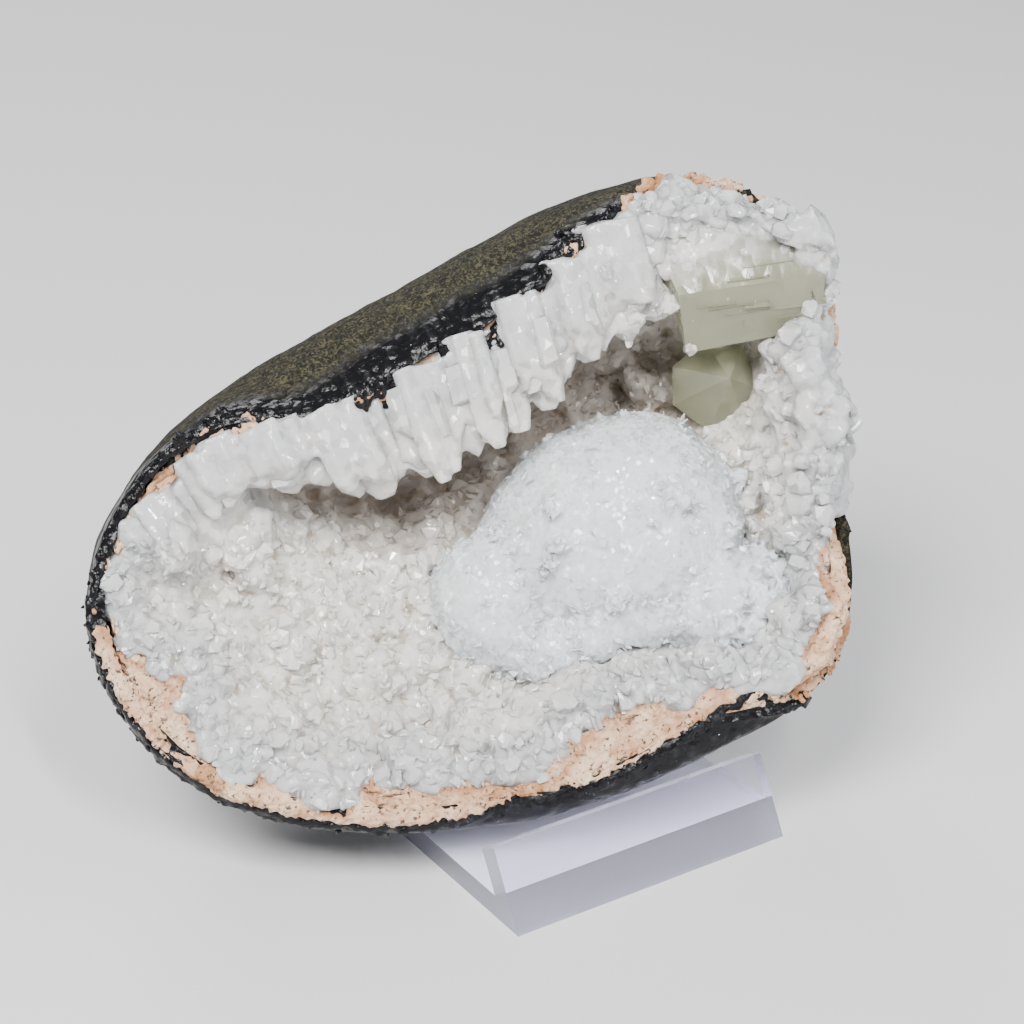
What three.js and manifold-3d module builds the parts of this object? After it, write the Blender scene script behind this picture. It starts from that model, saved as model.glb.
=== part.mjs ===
// Half a nodule lined with white crystals, with a ball of goosecreekite and two calcites, on a clear stand
// Millimetres, +Z up. The origin is the middle of the stand's foot, on the surface that it stands on
// The stone is drawn lying flat: x along it, y across it, z out of its open face. It is then tilted back
import * as THREE from 'three';
import { ConvexGeometry } from 'three/addons/geometries/ConvexGeometry.js';
import { mergeVertices } from 'three/addons/utils/BufferGeometryUtils.js';
import Module from 'manifold-3d';

const wasm = await Module();
wasm.setup();

// Stand, a bent sheet seen from the side: y back, z up
const SHEET = 3;
const STAND_WIDTH = 40;
const FRONT_Y = -25;
const REAR_Y = 31;
const HOOK_LENGTH = 11;
const HOOK_LEAN = 29;
const REST_LENGTH = 40;
const REST_LEAN = 20;

// How the stone leans on the stand, in degrees, and where the middle of its open face is
const FACE_TURN = -27;
const FACE_RISE = 26;
const FACE_ROLL = 20;
const FACE_PLACE = [-10, -0.7, 43.6];

// Outlines in the plane of the open face, anticlockwise from the right end
const GIRTH = [[48, -3], [54, 11], [48, 24], [36, 31], [22, 32], [2, 30], [-16, 27.5], [-26.5, 25.5],
  [-38, 20], [-47.5, 10.5], [-50, -3], [-46, -16], [-37, -25.5], [-26.5, -31.5], [-8, -38], [12, -39],
  [23, -38.5], [34.5, -35.5], [42, -26], [44, -14]];
const RIND_EDGE = [[45.5, -3], [51, 10.5], [46, 22.5], [35.5, 29], [28, 27], [20, 24.5], [10, 21], [-3, 20.5],
  [-12, 18], [-20, 23], [-32, 22], [-41, 17], [-47.5, 8], [-48.5, -3], [-44, -15.5], [-34.5, -24], [-24, -30],
  [-8, -34.5], [5, -36.5], [16, -34], [23, -34.5], [27, -37], [34, -34.5], [40.5, -27], [43, -14]];
const CRYSTAL_EDGE = [[43, -3], [48.5, 10.5], [44, 21], [35, 26.5], [29, 25], [23, 22], [14, 18], [3, 17.5],
  [-9, 15], [-16, 18], [-22, 19.5], [-31, 19], [-37, 13.5], [-44, 8], [-45.5, 1], [-41, -6], [-40, -14.5],
  [-33, -20], [-28, -24], [-18, -27.5], [-8, -29], [3, -28.5], [14, -28.5], [22, -31], [30, -32], [37, -25],
  [40, -14]];
const MIDDLE = [2, -3];

// Depths below the open face, and the sectors, as a middle angle and a half width, where they change
const GIRTH_DEPTH_ABOVE = 12;
const GIRTH_DEPTH_BELOW = 3;
const STONE_DEPTH = 39;
const RIND_THICK = 1.8;
const CHALK_DEEP = 4.4;
const CHALK_LEAST = 0.8;
// GAP is left where one piece is cut clear of another, CLEARANCE between two layers drawn apart
const GAP = 0.3;
const CLEARANCE = 0.7;
const BROKEN_RIND = 10;
const BROKEN_CHALK = 6;
const CRUST_STEP = 3;
const BROKEN_RIND_SECTOR = [-5, 62];
const BROKEN_CHALK_SECTOR = [8, 50];
const LOWER_SECTOR = [265, 125];
const CURL = THREE.MathUtils.degToRad(65);
const SWELL = 0.5;
const POLE_RADIUS = 12;

// Facets of the bowls
const SPOKES = 32;
const CURL_ROWS = 2;
const BACK_ROWS = 5;
const FRONT_ROWS = 6;
const RIND_CHIPS = 12;
const CHIP_RADIUS = [0.9, 1.5];
const CHALK_LUMPS = 12;
const LUMP_RADIUS = [1, 1.9];

// Floor of the hollow
const FLOOR_RIM = 0.3;
const LEDGE_SECTOR = [98, 78];
const DEEP_SECTOR = [10, 75];
const BOWL_DEPTH = 13.5;
const TROUGH = [[-20, 12], [-12, 7], [2, 5.5], [14, 7.5], [26, 8], [37, 3]];
const TROUGH_DEPTH = 13;
const TROUGH_HALF_WIDTH = 5.5;
const FLOOR_ROUGHNESS = 0.6;
const FLOOR_CLEARANCE = 0.6;

// Bundles of crystals that hang from the upper edge: x and y of the root, then of the tip
const HANGING = [[-36, 14, -33, 9], [-30, 18.5, -28, 12], [-23, 19, -22, 12], [-17, 17, -15, 10],
  [-10, 15, -8, 6], [-3, 16, -3, 5], [4, 17, 3, 5], [11, 17.5, 10, 8], [18, 19.5, 16, 10], [24, 22, 22, 11],
  [29, 24, 27, 13]];
// Bundles of blades that stand along the lower edge
const STANDING = [[-20, -26, -18, -21], [-13, -28, -12, -22], [-6, -28, -5, -23], [1, -28, 2, -23],
  [8, -28, 8, -23], [15, -28, 15, -24], [21, -30, 20, -26], [27, -31, 26, -27], [33, -28, 31, -24]];
const HANGING_RODS = { count: 3, rootHeight: -3, tipHeight: -3.5, width: 7.5, radius: 2.9 };
const STANDING_RODS = { count: 2, rootHeight: -5, tipHeight: 0, width: 3.4, radius: 2.2 };

// Single crystals: how many, at which angles and parts of the way out, how long and wide, and their lean
const LEFT_SLOPE = {
  count: 17, angles: [150, 245], parts: [0.45, 0.96],
  length: [2, 3.6], radius: [2, 3.3], lean: -0.2,
};
const LEFT_FLOOR = {
  count: 7, angles: [178, 250], parts: [0.22, 0.45],
  length: [1.6, 2.6], radius: [1.6, 2.4], lean: -0.1,
};
const RIGHT_FLOOR = {
  count: 5, angles: [-35, 0], parts: [0.7, 0.85],
  length: [2, 3.5], radius: [1.8, 2.6], lean: 0,
};
const ROOT_DEPTH = 1.5;

// Blunt crystals side by side that lean out past the broken shell at the right: x, y and height of the
// middle of the blunt end, and radius
const EDGE_CRYSTALS = [[32.5, 27.5, -2.5, 3.4], [38.5, 27, -2.5, 3.8], [44.5, 24, -3.5, 4], [49, 19.5, -4, 4],
  [52, 14.5, -5, 3.8], [51.5, 9, -5.5, 3.8], [48.5, 4, -5, 4.4], [46.5, -1.5, -4, 4.6], [46.5, -7, -4.5, 4.2],
  [43.5, -12, -4, 4.2], [40.5, -17, -3.5, 4]];
const EDGE_LENGTH = 7;
const EDGE_ROOT_DROP = 4;
const BLUNT_END = 0.55;

// Lobes of the goosecreekite ball: x, y, depth, then the half sizes along x, y and z, and the facets
const BALL_LOBES = [[16, -9, 12, 17, 14.5, 12, 3], [-1, -12, 11.5, 9, 9.5, 7.5, 2],
  [12, -19, 9.5, 12, 6.5, 7, 2], [24, -22, 9, 8.5, 7.5, 7, 1], [28.5, -27, 8, 5, 4, 5, 1],
  [3, -19, 9.5, 7, 5.5, 6, 1]];
const BALL_BLADES = 15;
const BLADE_RADIUS = 0.9;
const BLADE_OUT = [0.9, 1.7];
const BALL_BUMP = 0.035;
const BUMP_SPAN = 34;

// Corners of the two calcites: x, y and height, above the open face where positive
const BLOCK_CORNERS = [[33, 15, -1], [51, 10.5, -2], [32, 8, -6], [49, 4.5, -5.5], [33, 22.5, -3],
  [42, 23.5, -3], [50, 17, -3], [35, 12, -15], [43, 8, -15], [36, 17, -13], [43, 14, -13]];
const POINT_CORNERS = [[36.5, 3, -10], [31, 7, -14], [36, 8.5, -14], [40.5, 6, -14], [40.5, 0, -15],
  [37, -3.5, -16], [32.5, -2.5, -16], [29.5, 2.5, -16], [32, 6, -21], [38, 5, -21], [37, -2, -20],
  [32, -1, -21]];

// Each layer draws its chances from a start of its own, so that a copy grown for cutting matches it
const SEEDS = { rind: 11, chalk: 23, floor: 31, crystals: 47, ball: 61 };
let seed = SEEDS.rind;
function random() {
  seed = (seed * 16807) % 2147483647;
  return seed / 2147483647;
}

const between = (low, high) => low + (high - low) * random();

// Smooth bump that is 1 at the middle of a sector and 0 past its half width
function angleBump(angle, [middle, halfWidth]) {
  const turn = THREE.MathUtils.euclideanModulo(THREE.MathUtils.radToDeg(angle) - middle + 180, 360) - 180;
  return 1 - THREE.MathUtils.smoothstep(Math.abs(turn), halfWidth * 0.35, halfWidth);
}

// Slow swells that keep the stone from being a smooth oval
function swell(x, y, z) {
  const broad = Math.sin(x * 0.11 + 1.3) * Math.cos(y * 0.13 - z * 0.07);
  return broad + 0.6 * Math.sin(y * 0.21 + z * 0.17 + x * 0.05);
}

// Merges a closed geometry's corners and drops its empty faces, so that it can be joined and cut
function solid(geometry) {
  geometry.deleteAttribute('normal');
  geometry.deleteAttribute('uv');
  const merged = mergeVertices(geometry, 1e-4);
  const vertProperties = new Float32Array(merged.attributes.position.array);
  const corners = merged.index.array;
  const kept = [];
  for (let i = 0; i < corners.length; i += 3) {
    const [a, b, c] = [corners[i], corners[i + 1], corners[i + 2]];
    if (a !== b && b !== c && c !== a) kept.push(a, b, c);
  }
  const triVerts = new Uint32Array(kept);
  return new wasm.Manifold(new wasm.Mesh({ numProp: 3, vertProperties, triVerts }));
}

function geometryOf(body) {
  const mesh = body.getMesh();
  const geometry = new THREE.BufferGeometry();
  geometry.setAttribute('position', new THREE.BufferAttribute(mesh.vertProperties, 3));
  geometry.setIndex(new THREE.BufferAttribute(mesh.triVerts, 1));
  return geometry;
}

// Distance from the stone's middle to a closed outline, by angle
function reach(points) {
  const corners = points.map(([x, y]) => new THREE.Vector3(x, y, 0));
  const curve = new THREE.CatmullRomCurve3(corners, true, 'centripetal');
  const around = curve.getPoints(480).map((p) => [p.x - MIDDLE[0], p.y - MIDDLE[1]]);
  return (angle) => {
    const e = [Math.cos(angle), Math.sin(angle)];
    for (let i = 1; i < around.length; i += 1) {
      const [ax, ay] = around[i - 1];
      const [bx, by] = around[i];
      const sideA = e[0] * ay - e[1] * ax;
      const sideB = e[0] * by - e[1] * bx;
      const ahead = e[0] * ax + e[1] * ay > 0;
      if (ahead && sideA <= 0 && sideB > 0) {
        const t = sideA / (sideA - sideB);
        return Math.hypot(ax + (bx - ax) * t, ay + (by - ay) * t);
      }
    }
    return Math.hypot(around[0][0], around[0][1]);
  };
}

const girth = reach(GIRTH);
const rindEdge = reach(RIND_EDGE);
const crystalEdge = reach(CRYSTAL_EDGE);

// A point of a bowl: row 0 is its rim and the last row its lowest point
function bowlPoint(angle, row, bowl) {
  const inset = bowl.inset(angle);
  const wide = girth(angle) - inset;
  const rim = rindEdge(angle) - inset;
  const fall = bowl.broken * angleBump(angle, bowl.sector) + bowl.roughness(angle);
  const below = angleBump(angle, LOWER_SECTOR);
  const girthDepth = Math.max(THREE.MathUtils.lerp(GIRTH_DEPTH_ABOVE, GIRTH_DEPTH_BELOW, below), fall + 1);
  let radius;
  let depth;
  if (row <= CURL_ROWS) {
    const start = CURL * (1 - Math.max(fall, 0) / girthDepth);
    const turn = start * (1 - row / CURL_ROWS);
    radius = wide - (wide - rim) * (1 - Math.cos(turn)) / (1 - Math.cos(CURL));
    depth = girthDepth - (girthDepth - fall) * Math.sin(turn) / Math.sin(start);
  } else {
    const turn = (row - CURL_ROWS) / BACK_ROWS * Math.PI / 2;
    radius = wide * Math.cos(turn);
    depth = girthDepth + (STONE_DEPTH - bowl.depthInset - girthDepth) * Math.sin(turn);
  }
  const x = MIDDLE[0] + radius * Math.cos(angle);
  const y = MIDDLE[1] + radius * Math.sin(angle);
  const fade = Math.min(1, row / CURL_ROWS) * Math.min(1, radius / POLE_RADIUS);
  const out = SWELL * fade * swell(x, y, depth);
  const rise = row === 0 ? bowl.grow : 0;
  return new THREE.Vector3(x + out * Math.cos(angle), y + out * Math.sin(angle), rise - depth);
}

// Joins rings of points into faces. Each ring holds one point per spoke, or a single point at a pole
function skin(rings) {
  const positions = [];
  const face = (a, b, c) => positions.push(...a.toArray(), ...b.toArray(), ...c.toArray());
  for (let i = 1; i < rings.length; i += 1) {
    const upper = rings[i - 1];
    const lower = rings[i];
    for (let k = 0; k < SPOKES; k += 1) {
      const n = (k + 1) % SPOKES;
      if (upper.length === 1) {
        face(upper[0], lower[k], lower[n]);
      } else if (lower.length === 1) {
        face(upper[k], lower[0], upper[n]);
      } else if ((i + k) % 2) {
        face(upper[k], lower[k], lower[n]);
        face(upper[k], lower[n], upper[n]);
      } else {
        face(upper[k], lower[k], upper[n]);
        face(upper[n], lower[k], lower[n]);
      }
    }
  }
  const geometry = new THREE.BufferGeometry();
  geometry.setAttribute('position', new THREE.Float32BufferAttribute(positions, 3));
  return geometry;
}

const ANGLES = Array.from({ length: SPOKES }, (_, k) => k / SPOKES * Math.PI * 2);

function bowlRings(bowl) {
  const rings = [];
  for (let row = 0; row < CURL_ROWS + BACK_ROWS; row += 1) {
    rings.push(ANGLES.map((angle) => bowlPoint(angle, row, bowl)));
  }
  rings.push([bowlPoint(0, CURL_ROWS + BACK_ROWS, bowl)]);
  return rings;
}

// A shell between two bowls: down the outside, up the inside, and over the rim
function shell(outer, inner) {
  const outside = bowlRings(outer);
  const inside = bowlRings(inner).reverse();
  return solid(skin([...inside, ...outside]));
}

const ripple = (angle, count, shift) => Math.sin(angle * count + shift);
const rindRough = (angle) => 0.45 * ripple(angle, 17, 0.4) + 0.35 * ripple(angle, 11, 2);
const chalkRough = (angle) => 0.8 + 0.5 * ripple(angle, 13, 1) + 0.4 * ripple(angle, 19, 3);
const chalkInset = (angle) => Math.max(rindEdge(angle) - crystalEdge(angle), RIND_THICK + GAP + CHALK_LEAST);

const CRUST_BACK = {
  inset: (angle) => chalkInset(angle) + CLEARANCE,
  depthInset: RIND_THICK + CHALK_DEEP + CLEARANCE,
  broken: BROKEN_CHALK,
  sector: BROKEN_CHALK_SECTOR,
  roughness: chalkRough,
  grow: 0,
};

// A flat-faced lump, as broken rock and grains show
function lump(centre, radius) {
  const geometry = new THREE.OctahedronGeometry(radius, 0);
  geometry.scale(between(0.8, 1.3), between(0.8, 1.3), between(0.6, 0.9));
  geometry.rotateZ(between(0, Math.PI));
  geometry.translate(centre.x, centre.y, centre.z);
  return solid(geometry);
}

// A flat-faced crystal from its root to its tip, widest below the tip. A blunt end is a part of its radius
function crystal(root, tip, radius, sides, flatness, bluntEnd = 0) {
  const length = root.distanceTo(tip);
  const outline = [[0, 0], [radius * 0.75, 0], [radius, length * 0.7], [radius * bluntEnd, length]];
  if (bluntEnd) outline.push([0, length]);
  const geometry = new THREE.LatheGeometry(outline.map(([x, y]) => new THREE.Vector2(x, y)), sides);
  geometry.scale(1, 1, flatness);
  geometry.rotateY(between(0, Math.PI));
  const along = tip.clone().sub(root).normalize();
  geometry.applyQuaternion(new THREE.Quaternion().setFromUnitVectors(new THREE.Vector3(0, 1, 0), along));
  geometry.translate(root.x, root.y, root.z);
  return solid(geometry);
}

// The dark skin, or the same skin thicker all round by grow, to cut its neighbours clear of it
function rind(grow) {
  seed = SEEDS.rind;
  const edge = { broken: BROKEN_RIND, sector: BROKEN_RIND_SECTOR, roughness: rindRough, grow };
  const outside = { ...edge, inset: () => -grow, depthInset: -grow };
  const inside = { ...edge, inset: () => RIND_THICK + 2 * grow, depthInset: RIND_THICK + grow };
  let body = shell(outside, inside);
  for (let i = 0; i < RIND_CHIPS; i += 1) {
    const angle = (i + between(-0.3, 0.3)) / RIND_CHIPS * Math.PI * 2;
    const place = bowlPoint(angle, 0, { ...outside, inset: () => RIND_THICK / 2, grow: 0 });
    body = body.add(lump(place, between(...CHIP_RADIUS) + grow));
  }
  return body;
}

// The tan layer inside the skin, or the same layer thicker all round by grow
function chalk(grow) {
  seed = SEEDS.chalk;
  const outerInset = RIND_THICK + CLEARANCE - grow;
  const edge = { broken: BROKEN_CHALK, sector: BROKEN_CHALK_SECTOR, roughness: chalkRough, grow };
  const outside = { ...edge, inset: () => outerInset, depthInset: outerInset };
  const inside = {
    ...edge,
    inset: (angle) => chalkInset(angle) + 2 * grow,
    depthInset: RIND_THICK + CHALK_DEEP + grow,
  };
  let body = shell(outside, inside);
  for (let i = 0; i < CHALK_LUMPS; i += 1) {
    const angle = (i + between(-0.3, 0.3)) / CHALK_LUMPS * Math.PI * 2;
    const width = chalkInset(angle) - RIND_THICK;
    const across = RIND_THICK + width * between(0.4, 0.7);
    const place = bowlPoint(angle, 0, { ...inside, inset: () => across, grow: 0 });
    body = body.add(lump(place, Math.min(width * 0.35, between(...LUMP_RADIUS)) + grow));
  }
  return body;
}

function distanceToTrough(x, y) {
  const point = new THREE.Vector3(x, y, 0);
  let nearest = Infinity;
  for (let i = 1; i < TROUGH.length; i += 1) {
    const line = new THREE.Line3(new THREE.Vector3(...TROUGH[i - 1], 0), new THREE.Vector3(...TROUGH[i], 0));
    const foot = line.closestPointToPoint(point, true, new THREE.Vector3());
    nearest = Math.min(nearest, foot.distanceTo(point));
  }
  return nearest;
}

// A point on the floor of the hollow: part is 0 in the middle and 1 at the edge of the crystals
function floorPoint(angle, part, raise = 0) {
  const rim = bowlPoint(angle, 0, CRUST_BACK);
  rim.z += FLOOR_RIM + CRUST_STEP * angleBump(angle, BROKEN_CHALK_SECTOR);
  const x = MIDDLE[0] + (rim.x - MIDDLE[0]) * part;
  const y = MIDDLE[1] + (rim.y - MIDDLE[1]) * part;
  const trough = TROUGH_DEPTH * Math.exp(-((distanceToTrough(x, y) / TROUGH_HALF_WIDTH) ** 2));
  const ledge = 1 - THREE.MathUtils.smoothstep(part, 0.3, 0.8);
  const slope = 1 - part ** THREE.MathUtils.lerp(2, 5, angleBump(angle, DEEP_SECTOR));
  const inward = THREE.MathUtils.lerp(slope, ledge, angleBump(angle, LEDGE_SECTOR));
  const depth = BOWL_DEPTH * inward + trough * (1 - part ** 6);
  return new THREE.Vector3(x, y, rim.z - depth + raise);
}

// The floor as a solid down to the tan layer, or raised to cut what grows on it clear of it
function floorOfHollow(raise = 0) {
  seed = SEEDS.floor;
  const rings = [[floorPoint(0, 0, raise)]];
  for (let row = 1; row < FRONT_ROWS; row += 1) {
    rings.push(ANGLES.map((angle) => {
      const point = floorPoint(angle, row / FRONT_ROWS, raise);
      point.z += between(-FLOOR_ROUGHNESS, FLOOR_ROUGHNESS);
      return point;
    }));
  }
  rings.push(ANGLES.map((angle) => floorPoint(angle, 1, raise)));
  return solid(skin([...rings, ...bowlRings(CRUST_BACK)]));
}

// Rods that fan out side by side from one root, as a bundle
function bundle([rootX, rootY, tipX, tipY], { count, rootHeight, tipHeight, width, radius }) {
  const along = new THREE.Vector2(tipX - rootX, tipY - rootY).normalize();
  const rods = [];
  for (let i = 0; i < count; i += 1) {
    const side = (i / (count - 1) - 0.5) * width;
    const back = 2.5 * Math.abs(side) / width + between(-0.8, 0.8);
    const root = new THREE.Vector3(rootX - along.y * side * 0.7, rootY + along.x * side * 0.7, rootHeight);
    const tip = new THREE.Vector3(
      tipX - along.y * side - along.x * back,
      tipY + along.x * side - along.y * back,
      tipHeight - 0.35 * Math.abs(side) + between(-0.7, 0.7),
    );
    rods.push(crystal(root, tip, radius * between(0.85, 1.15), 4, between(0.6, 1)));
  }
  return rods;
}

// Single crystals that grow out of the floor, leaning to the middle or out past the edge
function scattered({ count, angles, parts, length, radius, lean }) {
  const crystals = [];
  for (let i = 0; i < count; i += 1) {
    const angle = THREE.MathUtils.degToRad(between(...angles));
    const root = floorPoint(angle, between(...parts));
    root.z -= ROOT_DEPTH;
    const away = new THREE.Vector3(Math.cos(angle), Math.sin(angle), 0).multiplyScalar(lean);
    const aim = away.add(new THREE.Vector3(between(-0.5, 0.5), between(-0.5, 0.5), 1)).normalize();
    const tip = root.clone().addScaledVector(aim, between(...length) + ROOT_DEPTH);
    crystals.push(crystal(root, tip, between(...radius), 4 + i % 2, between(0.7, 1)));
  }
  return crystals;
}

// A blunt crystal from inside the hollow's edge out past that edge
function edgeCrystal([x, y, height, radius]) {
  const tip = new THREE.Vector3(x, y, height);
  const inward = new THREE.Vector3(MIDDLE[0] - x, MIDDLE[1] - y, 0).setLength(EDGE_LENGTH);
  const root = tip.clone().add(inward);
  root.z -= EDGE_ROOT_DROP;
  return crystal(root, tip, radius, 4, between(0.75, 0.95), BLUNT_END);
}

function whiteCrystals() {
  seed = SEEDS.crystals;
  return [
    ...HANGING.flatMap((line) => bundle(line, HANGING_RODS)),
    ...STANDING.flatMap((line) => bundle(line, STANDING_RODS)),
    ...EDGE_CRYSTALS.map(edgeCrystal),
    ...[LEFT_SLOPE, LEFT_FLOOR, RIGHT_FLOOR].flatMap(scattered),
  ];
}

// The ball, or the same ball larger all round by grow
function ball(grow) {
  seed = SEEDS.ball;
  let body;
  for (const [x, y, depth, ...size] of BALL_LOBES) {
    const [halfX, halfY, halfZ, detail] = size;
    const geometry = new THREE.IcosahedronGeometry(1, detail);
    const points = geometry.attributes.position;
    for (let i = 0; i < points.count; i += 1) {
      const p = new THREE.Vector3().fromBufferAttribute(points, i);
      const bump = 1 + BALL_BUMP * swell(p.x * BUMP_SPAN, p.y * BUMP_SPAN, p.z * BUMP_SPAN);
      points.setXYZ(i, p.x * (halfX * bump + grow), p.y * (halfY * bump + grow), p.z * (halfZ * bump + grow));
    }
    geometry.translate(x, y, -depth);
    body = body ? body.add(solid(geometry)) : solid(geometry);
  }
  for (let i = 0; i < BALL_BLADES; i += 1) {
    const lobe = BALL_LOBES[i % 3 ? 0 : i / 3 % BALL_LOBES.length];
    const [x, y, depth, halfX, halfY, halfZ] = lobe;
    const turn = between(0, Math.PI * 2);
    const rise = between(0.1, 1.2);
    const level = Math.cos(rise);
    const aim = new THREE.Vector3(Math.cos(turn) * level, Math.sin(turn) * level, Math.sin(rise));
    const foot = new THREE.Vector3(x + halfX * aim.x, y + halfY * aim.y, halfZ * aim.z - depth);
    const root = foot.clone().addScaledVector(aim, -ROOT_DEPTH);
    const tip = foot.clone().addScaledVector(aim, between(...BLADE_OUT) + grow);
    body = body.add(crystal(root, tip, BLADE_RADIUS + grow, 4, 0.5));
  }
  return body;
}

// A convex crystal through the given corners, larger by grow
function hull(corners, grow) {
  const points = corners.map((corner) => new THREE.Vector3(...corner));
  const centre = new THREE.Vector3();
  points.forEach((point) => centre.addScaledVector(point, 1 / points.length));
  points.forEach((point) => point.addScaledVector(point.clone().sub(centre).normalize(), grow * 2));
  return solid(new ConvexGeometry(points));
}

// The largest piece of a body that cuts may have left in crumbs
function largestPiece(body) {
  return body.decompose().reduce((best, piece) => (piece.volume() > best.volume() ? piece : best));
}

// What grows on the floor, without the part of it that the floor hides
function onFloor(body) {
  return largestPiece(body.subtract(floorOfHollow(FLOOR_CLEARANCE)));
}

function crust() {
  const neighbours = [rind(GAP), chalk(GAP), ball(GAP), hull(BLOCK_CORNERS, GAP), hull(POINT_CORNERS, GAP)];
  let body = floorOfHollow();
  for (const crystalBody of whiteCrystals()) {
    const clear = neighbours.reduce((rest, neighbour) => rest.subtract(neighbour), crystalBody);
    body = body.add(clear);
  }
  return largestPiece(body);
}

// Moves an open line sideways by a distance, keeping its corners sharp
function offsetLine(points, distance) {
  const normals = points.slice(1).map((p, i) => {
    const along = p.clone().sub(points[i]).normalize();
    return new THREE.Vector2(-along.y, along.x);
  });
  return points.map((p, i) => {
    const before = normals[Math.max(i - 1, 0)];
    const after = normals[Math.min(i, normals.length - 1)];
    const mitre = before.clone().add(after);
    return p.clone().addScaledVector(mitre, 2 * distance / mitre.lengthSq());
  });
}

function stand() {
  const toRadians = THREE.MathUtils.degToRad;
  const hook = new THREE.Vector2(Math.sin(toRadians(HOOK_LEAN)), Math.cos(toRadians(HOOK_LEAN)));
  const rest = new THREE.Vector2(Math.sin(toRadians(REST_LEAN)), Math.cos(toRadians(REST_LEAN)));
  const front = new THREE.Vector2(FRONT_Y, 0);
  const rear = new THREE.Vector2(REAR_Y, 0);
  const hookTop = front.clone().addScaledVector(hook, HOOK_LENGTH);
  const restTop = rear.clone().addScaledVector(rest, REST_LENGTH);
  const under = [hookTop, front, rear, restTop];
  const above = offsetLine(under, SHEET);
  const outline = new THREE.Shape([...under, ...above.reverse()]);
  const geometry = new THREE.ExtrudeGeometry(outline, { depth: STAND_WIDTH, bevelEnabled: false });
  const sideways = new THREE.Matrix4().makeBasis(
    new THREE.Vector3(0, 1, 0),
    new THREE.Vector3(0, 0, 1),
    new THREE.Vector3(1, 0, 0),
  );
  geometry.applyMatrix4(sideways);
  geometry.translate(-STAND_WIDTH / 2, 0, 0);
  return solid(geometry);
}

function part(name, body, colour, roughness, looks = {}) {
  const material = new THREE.MeshStandardMaterial({ color: colour, roughness, metalness: 0, ...looks });
  const mesh = new THREE.Mesh(geometryOf(body), material);
  mesh.name = name;
  return mesh;
}

const stone = new THREE.Group();
stone.rotation.z = THREE.MathUtils.degToRad(FACE_ROLL);
const clear = { transparent: true, opacity: 0.8 };
stone.add(part('nodule_rind', rind(0), '#26241c', 0.55));
stone.add(part('chalky_layer', largestPiece(chalk(0).subtract(rind(GAP))), '#d2ab8c', 0.9));
stone.add(part('crystal_crust', crust(), '#f0ede8', 0.35));
stone.add(part('goosecreekite_ball', onFloor(ball(0)), '#f4f7fb', 0.4));
stone.add(part('calcite_block', onFloor(hull(BLOCK_CORNERS, 0)), '#dcdcc0', 0.15, clear));
stone.add(part('calcite_point', onFloor(hull(POINT_CORNERS, 0)), '#e4e0c8', 0.15, clear));

const raised = new THREE.Group();
raised.rotation.x = THREE.MathUtils.degToRad(90 - FACE_RISE);
raised.add(stone);

const turned = new THREE.Group();
turned.rotation.z = THREE.MathUtils.degToRad(FACE_TURN);
turned.position.set(...FACE_PLACE);
turned.add(raised);

const specimen = new THREE.Group();
specimen.add(turned);
specimen.add(part('stand', stand(), '#dfe0ee', 0.05, { transparent: true, opacity: 0.3 }));

export default specimen;
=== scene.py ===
# %% [markdown]
# A goosecreekite specimen on its clear stand: half a dark nodule is lined with white crystals, and a
# snow-white ball of goosecreekite grew on them beside two pale yellow calcites. This lesson dresses the
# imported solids: it keeps their places and sizes, replaces the rough ones with finer meshes, and gives
# every surface a procedural material.

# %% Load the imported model
import math
import bmesh
import bpy
import numpy as np
from mathutils import Matrix, Vector, noise
from mathutils.bvhtree import BVHTree


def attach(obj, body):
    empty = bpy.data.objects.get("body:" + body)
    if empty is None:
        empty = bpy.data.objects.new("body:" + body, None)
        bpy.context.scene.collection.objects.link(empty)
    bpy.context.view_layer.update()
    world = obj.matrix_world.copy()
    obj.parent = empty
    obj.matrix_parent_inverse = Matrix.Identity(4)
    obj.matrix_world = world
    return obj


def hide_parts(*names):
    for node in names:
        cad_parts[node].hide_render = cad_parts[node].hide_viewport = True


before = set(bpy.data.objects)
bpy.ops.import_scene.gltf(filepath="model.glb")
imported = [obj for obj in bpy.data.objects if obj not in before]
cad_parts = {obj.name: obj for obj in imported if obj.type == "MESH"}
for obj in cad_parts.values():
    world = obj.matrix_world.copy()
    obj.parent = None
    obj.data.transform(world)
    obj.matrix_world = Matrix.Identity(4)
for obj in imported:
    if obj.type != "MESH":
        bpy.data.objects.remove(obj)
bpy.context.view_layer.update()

MM = 0.001
for node_name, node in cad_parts.items():
    print(node_name, len(node.data.polygons), "faces")

# %% [markdown]
# The stone was drawn lying flat: x runs along it, y across it and z out of its open face, in millimetres.
# It leans on the stand, so a matrix takes points from that flat drawing into the row's frame. The
# crystals could be placed in the row's frame straight away, but it is simpler to grow them in the flat
# drawing, where "towards the viewer" is plainly +z, and to tilt the finished points.

# %% From the stone's own frame to the row's
FACE_TURN, FACE_RISE, FACE_ROLL = math.radians(-27), math.radians(26), math.radians(20)
FACE_PLACE = Vector((-10, -0.7, 43.6)) * MM
STONE_TO_ROW = (
    Matrix.Translation(FACE_PLACE)
    @ Matrix.Rotation(FACE_TURN, 4, "Z")
    @ Matrix.Rotation(math.pi / 2 - FACE_RISE, 4, "X")
    @ Matrix.Rotation(FACE_ROLL, 4, "Z")
)
TILT = np.array(STONE_TO_ROW.to_3x3())


def to_row(points):
    """Points in the stone's frame, in millimetres, as points in the row's frame, in metres."""
    return points @ TILT.T * MM + np.array(FACE_PLACE)


def to_stone(points):
    """Points in the row's frame, in metres, as points in the stone's frame, in millimetres."""
    return (points - np.array(FACE_PLACE)) @ TILT / MM


print("open face looks along", [round(v, 2) for v in TILT[:, 2]])

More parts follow.
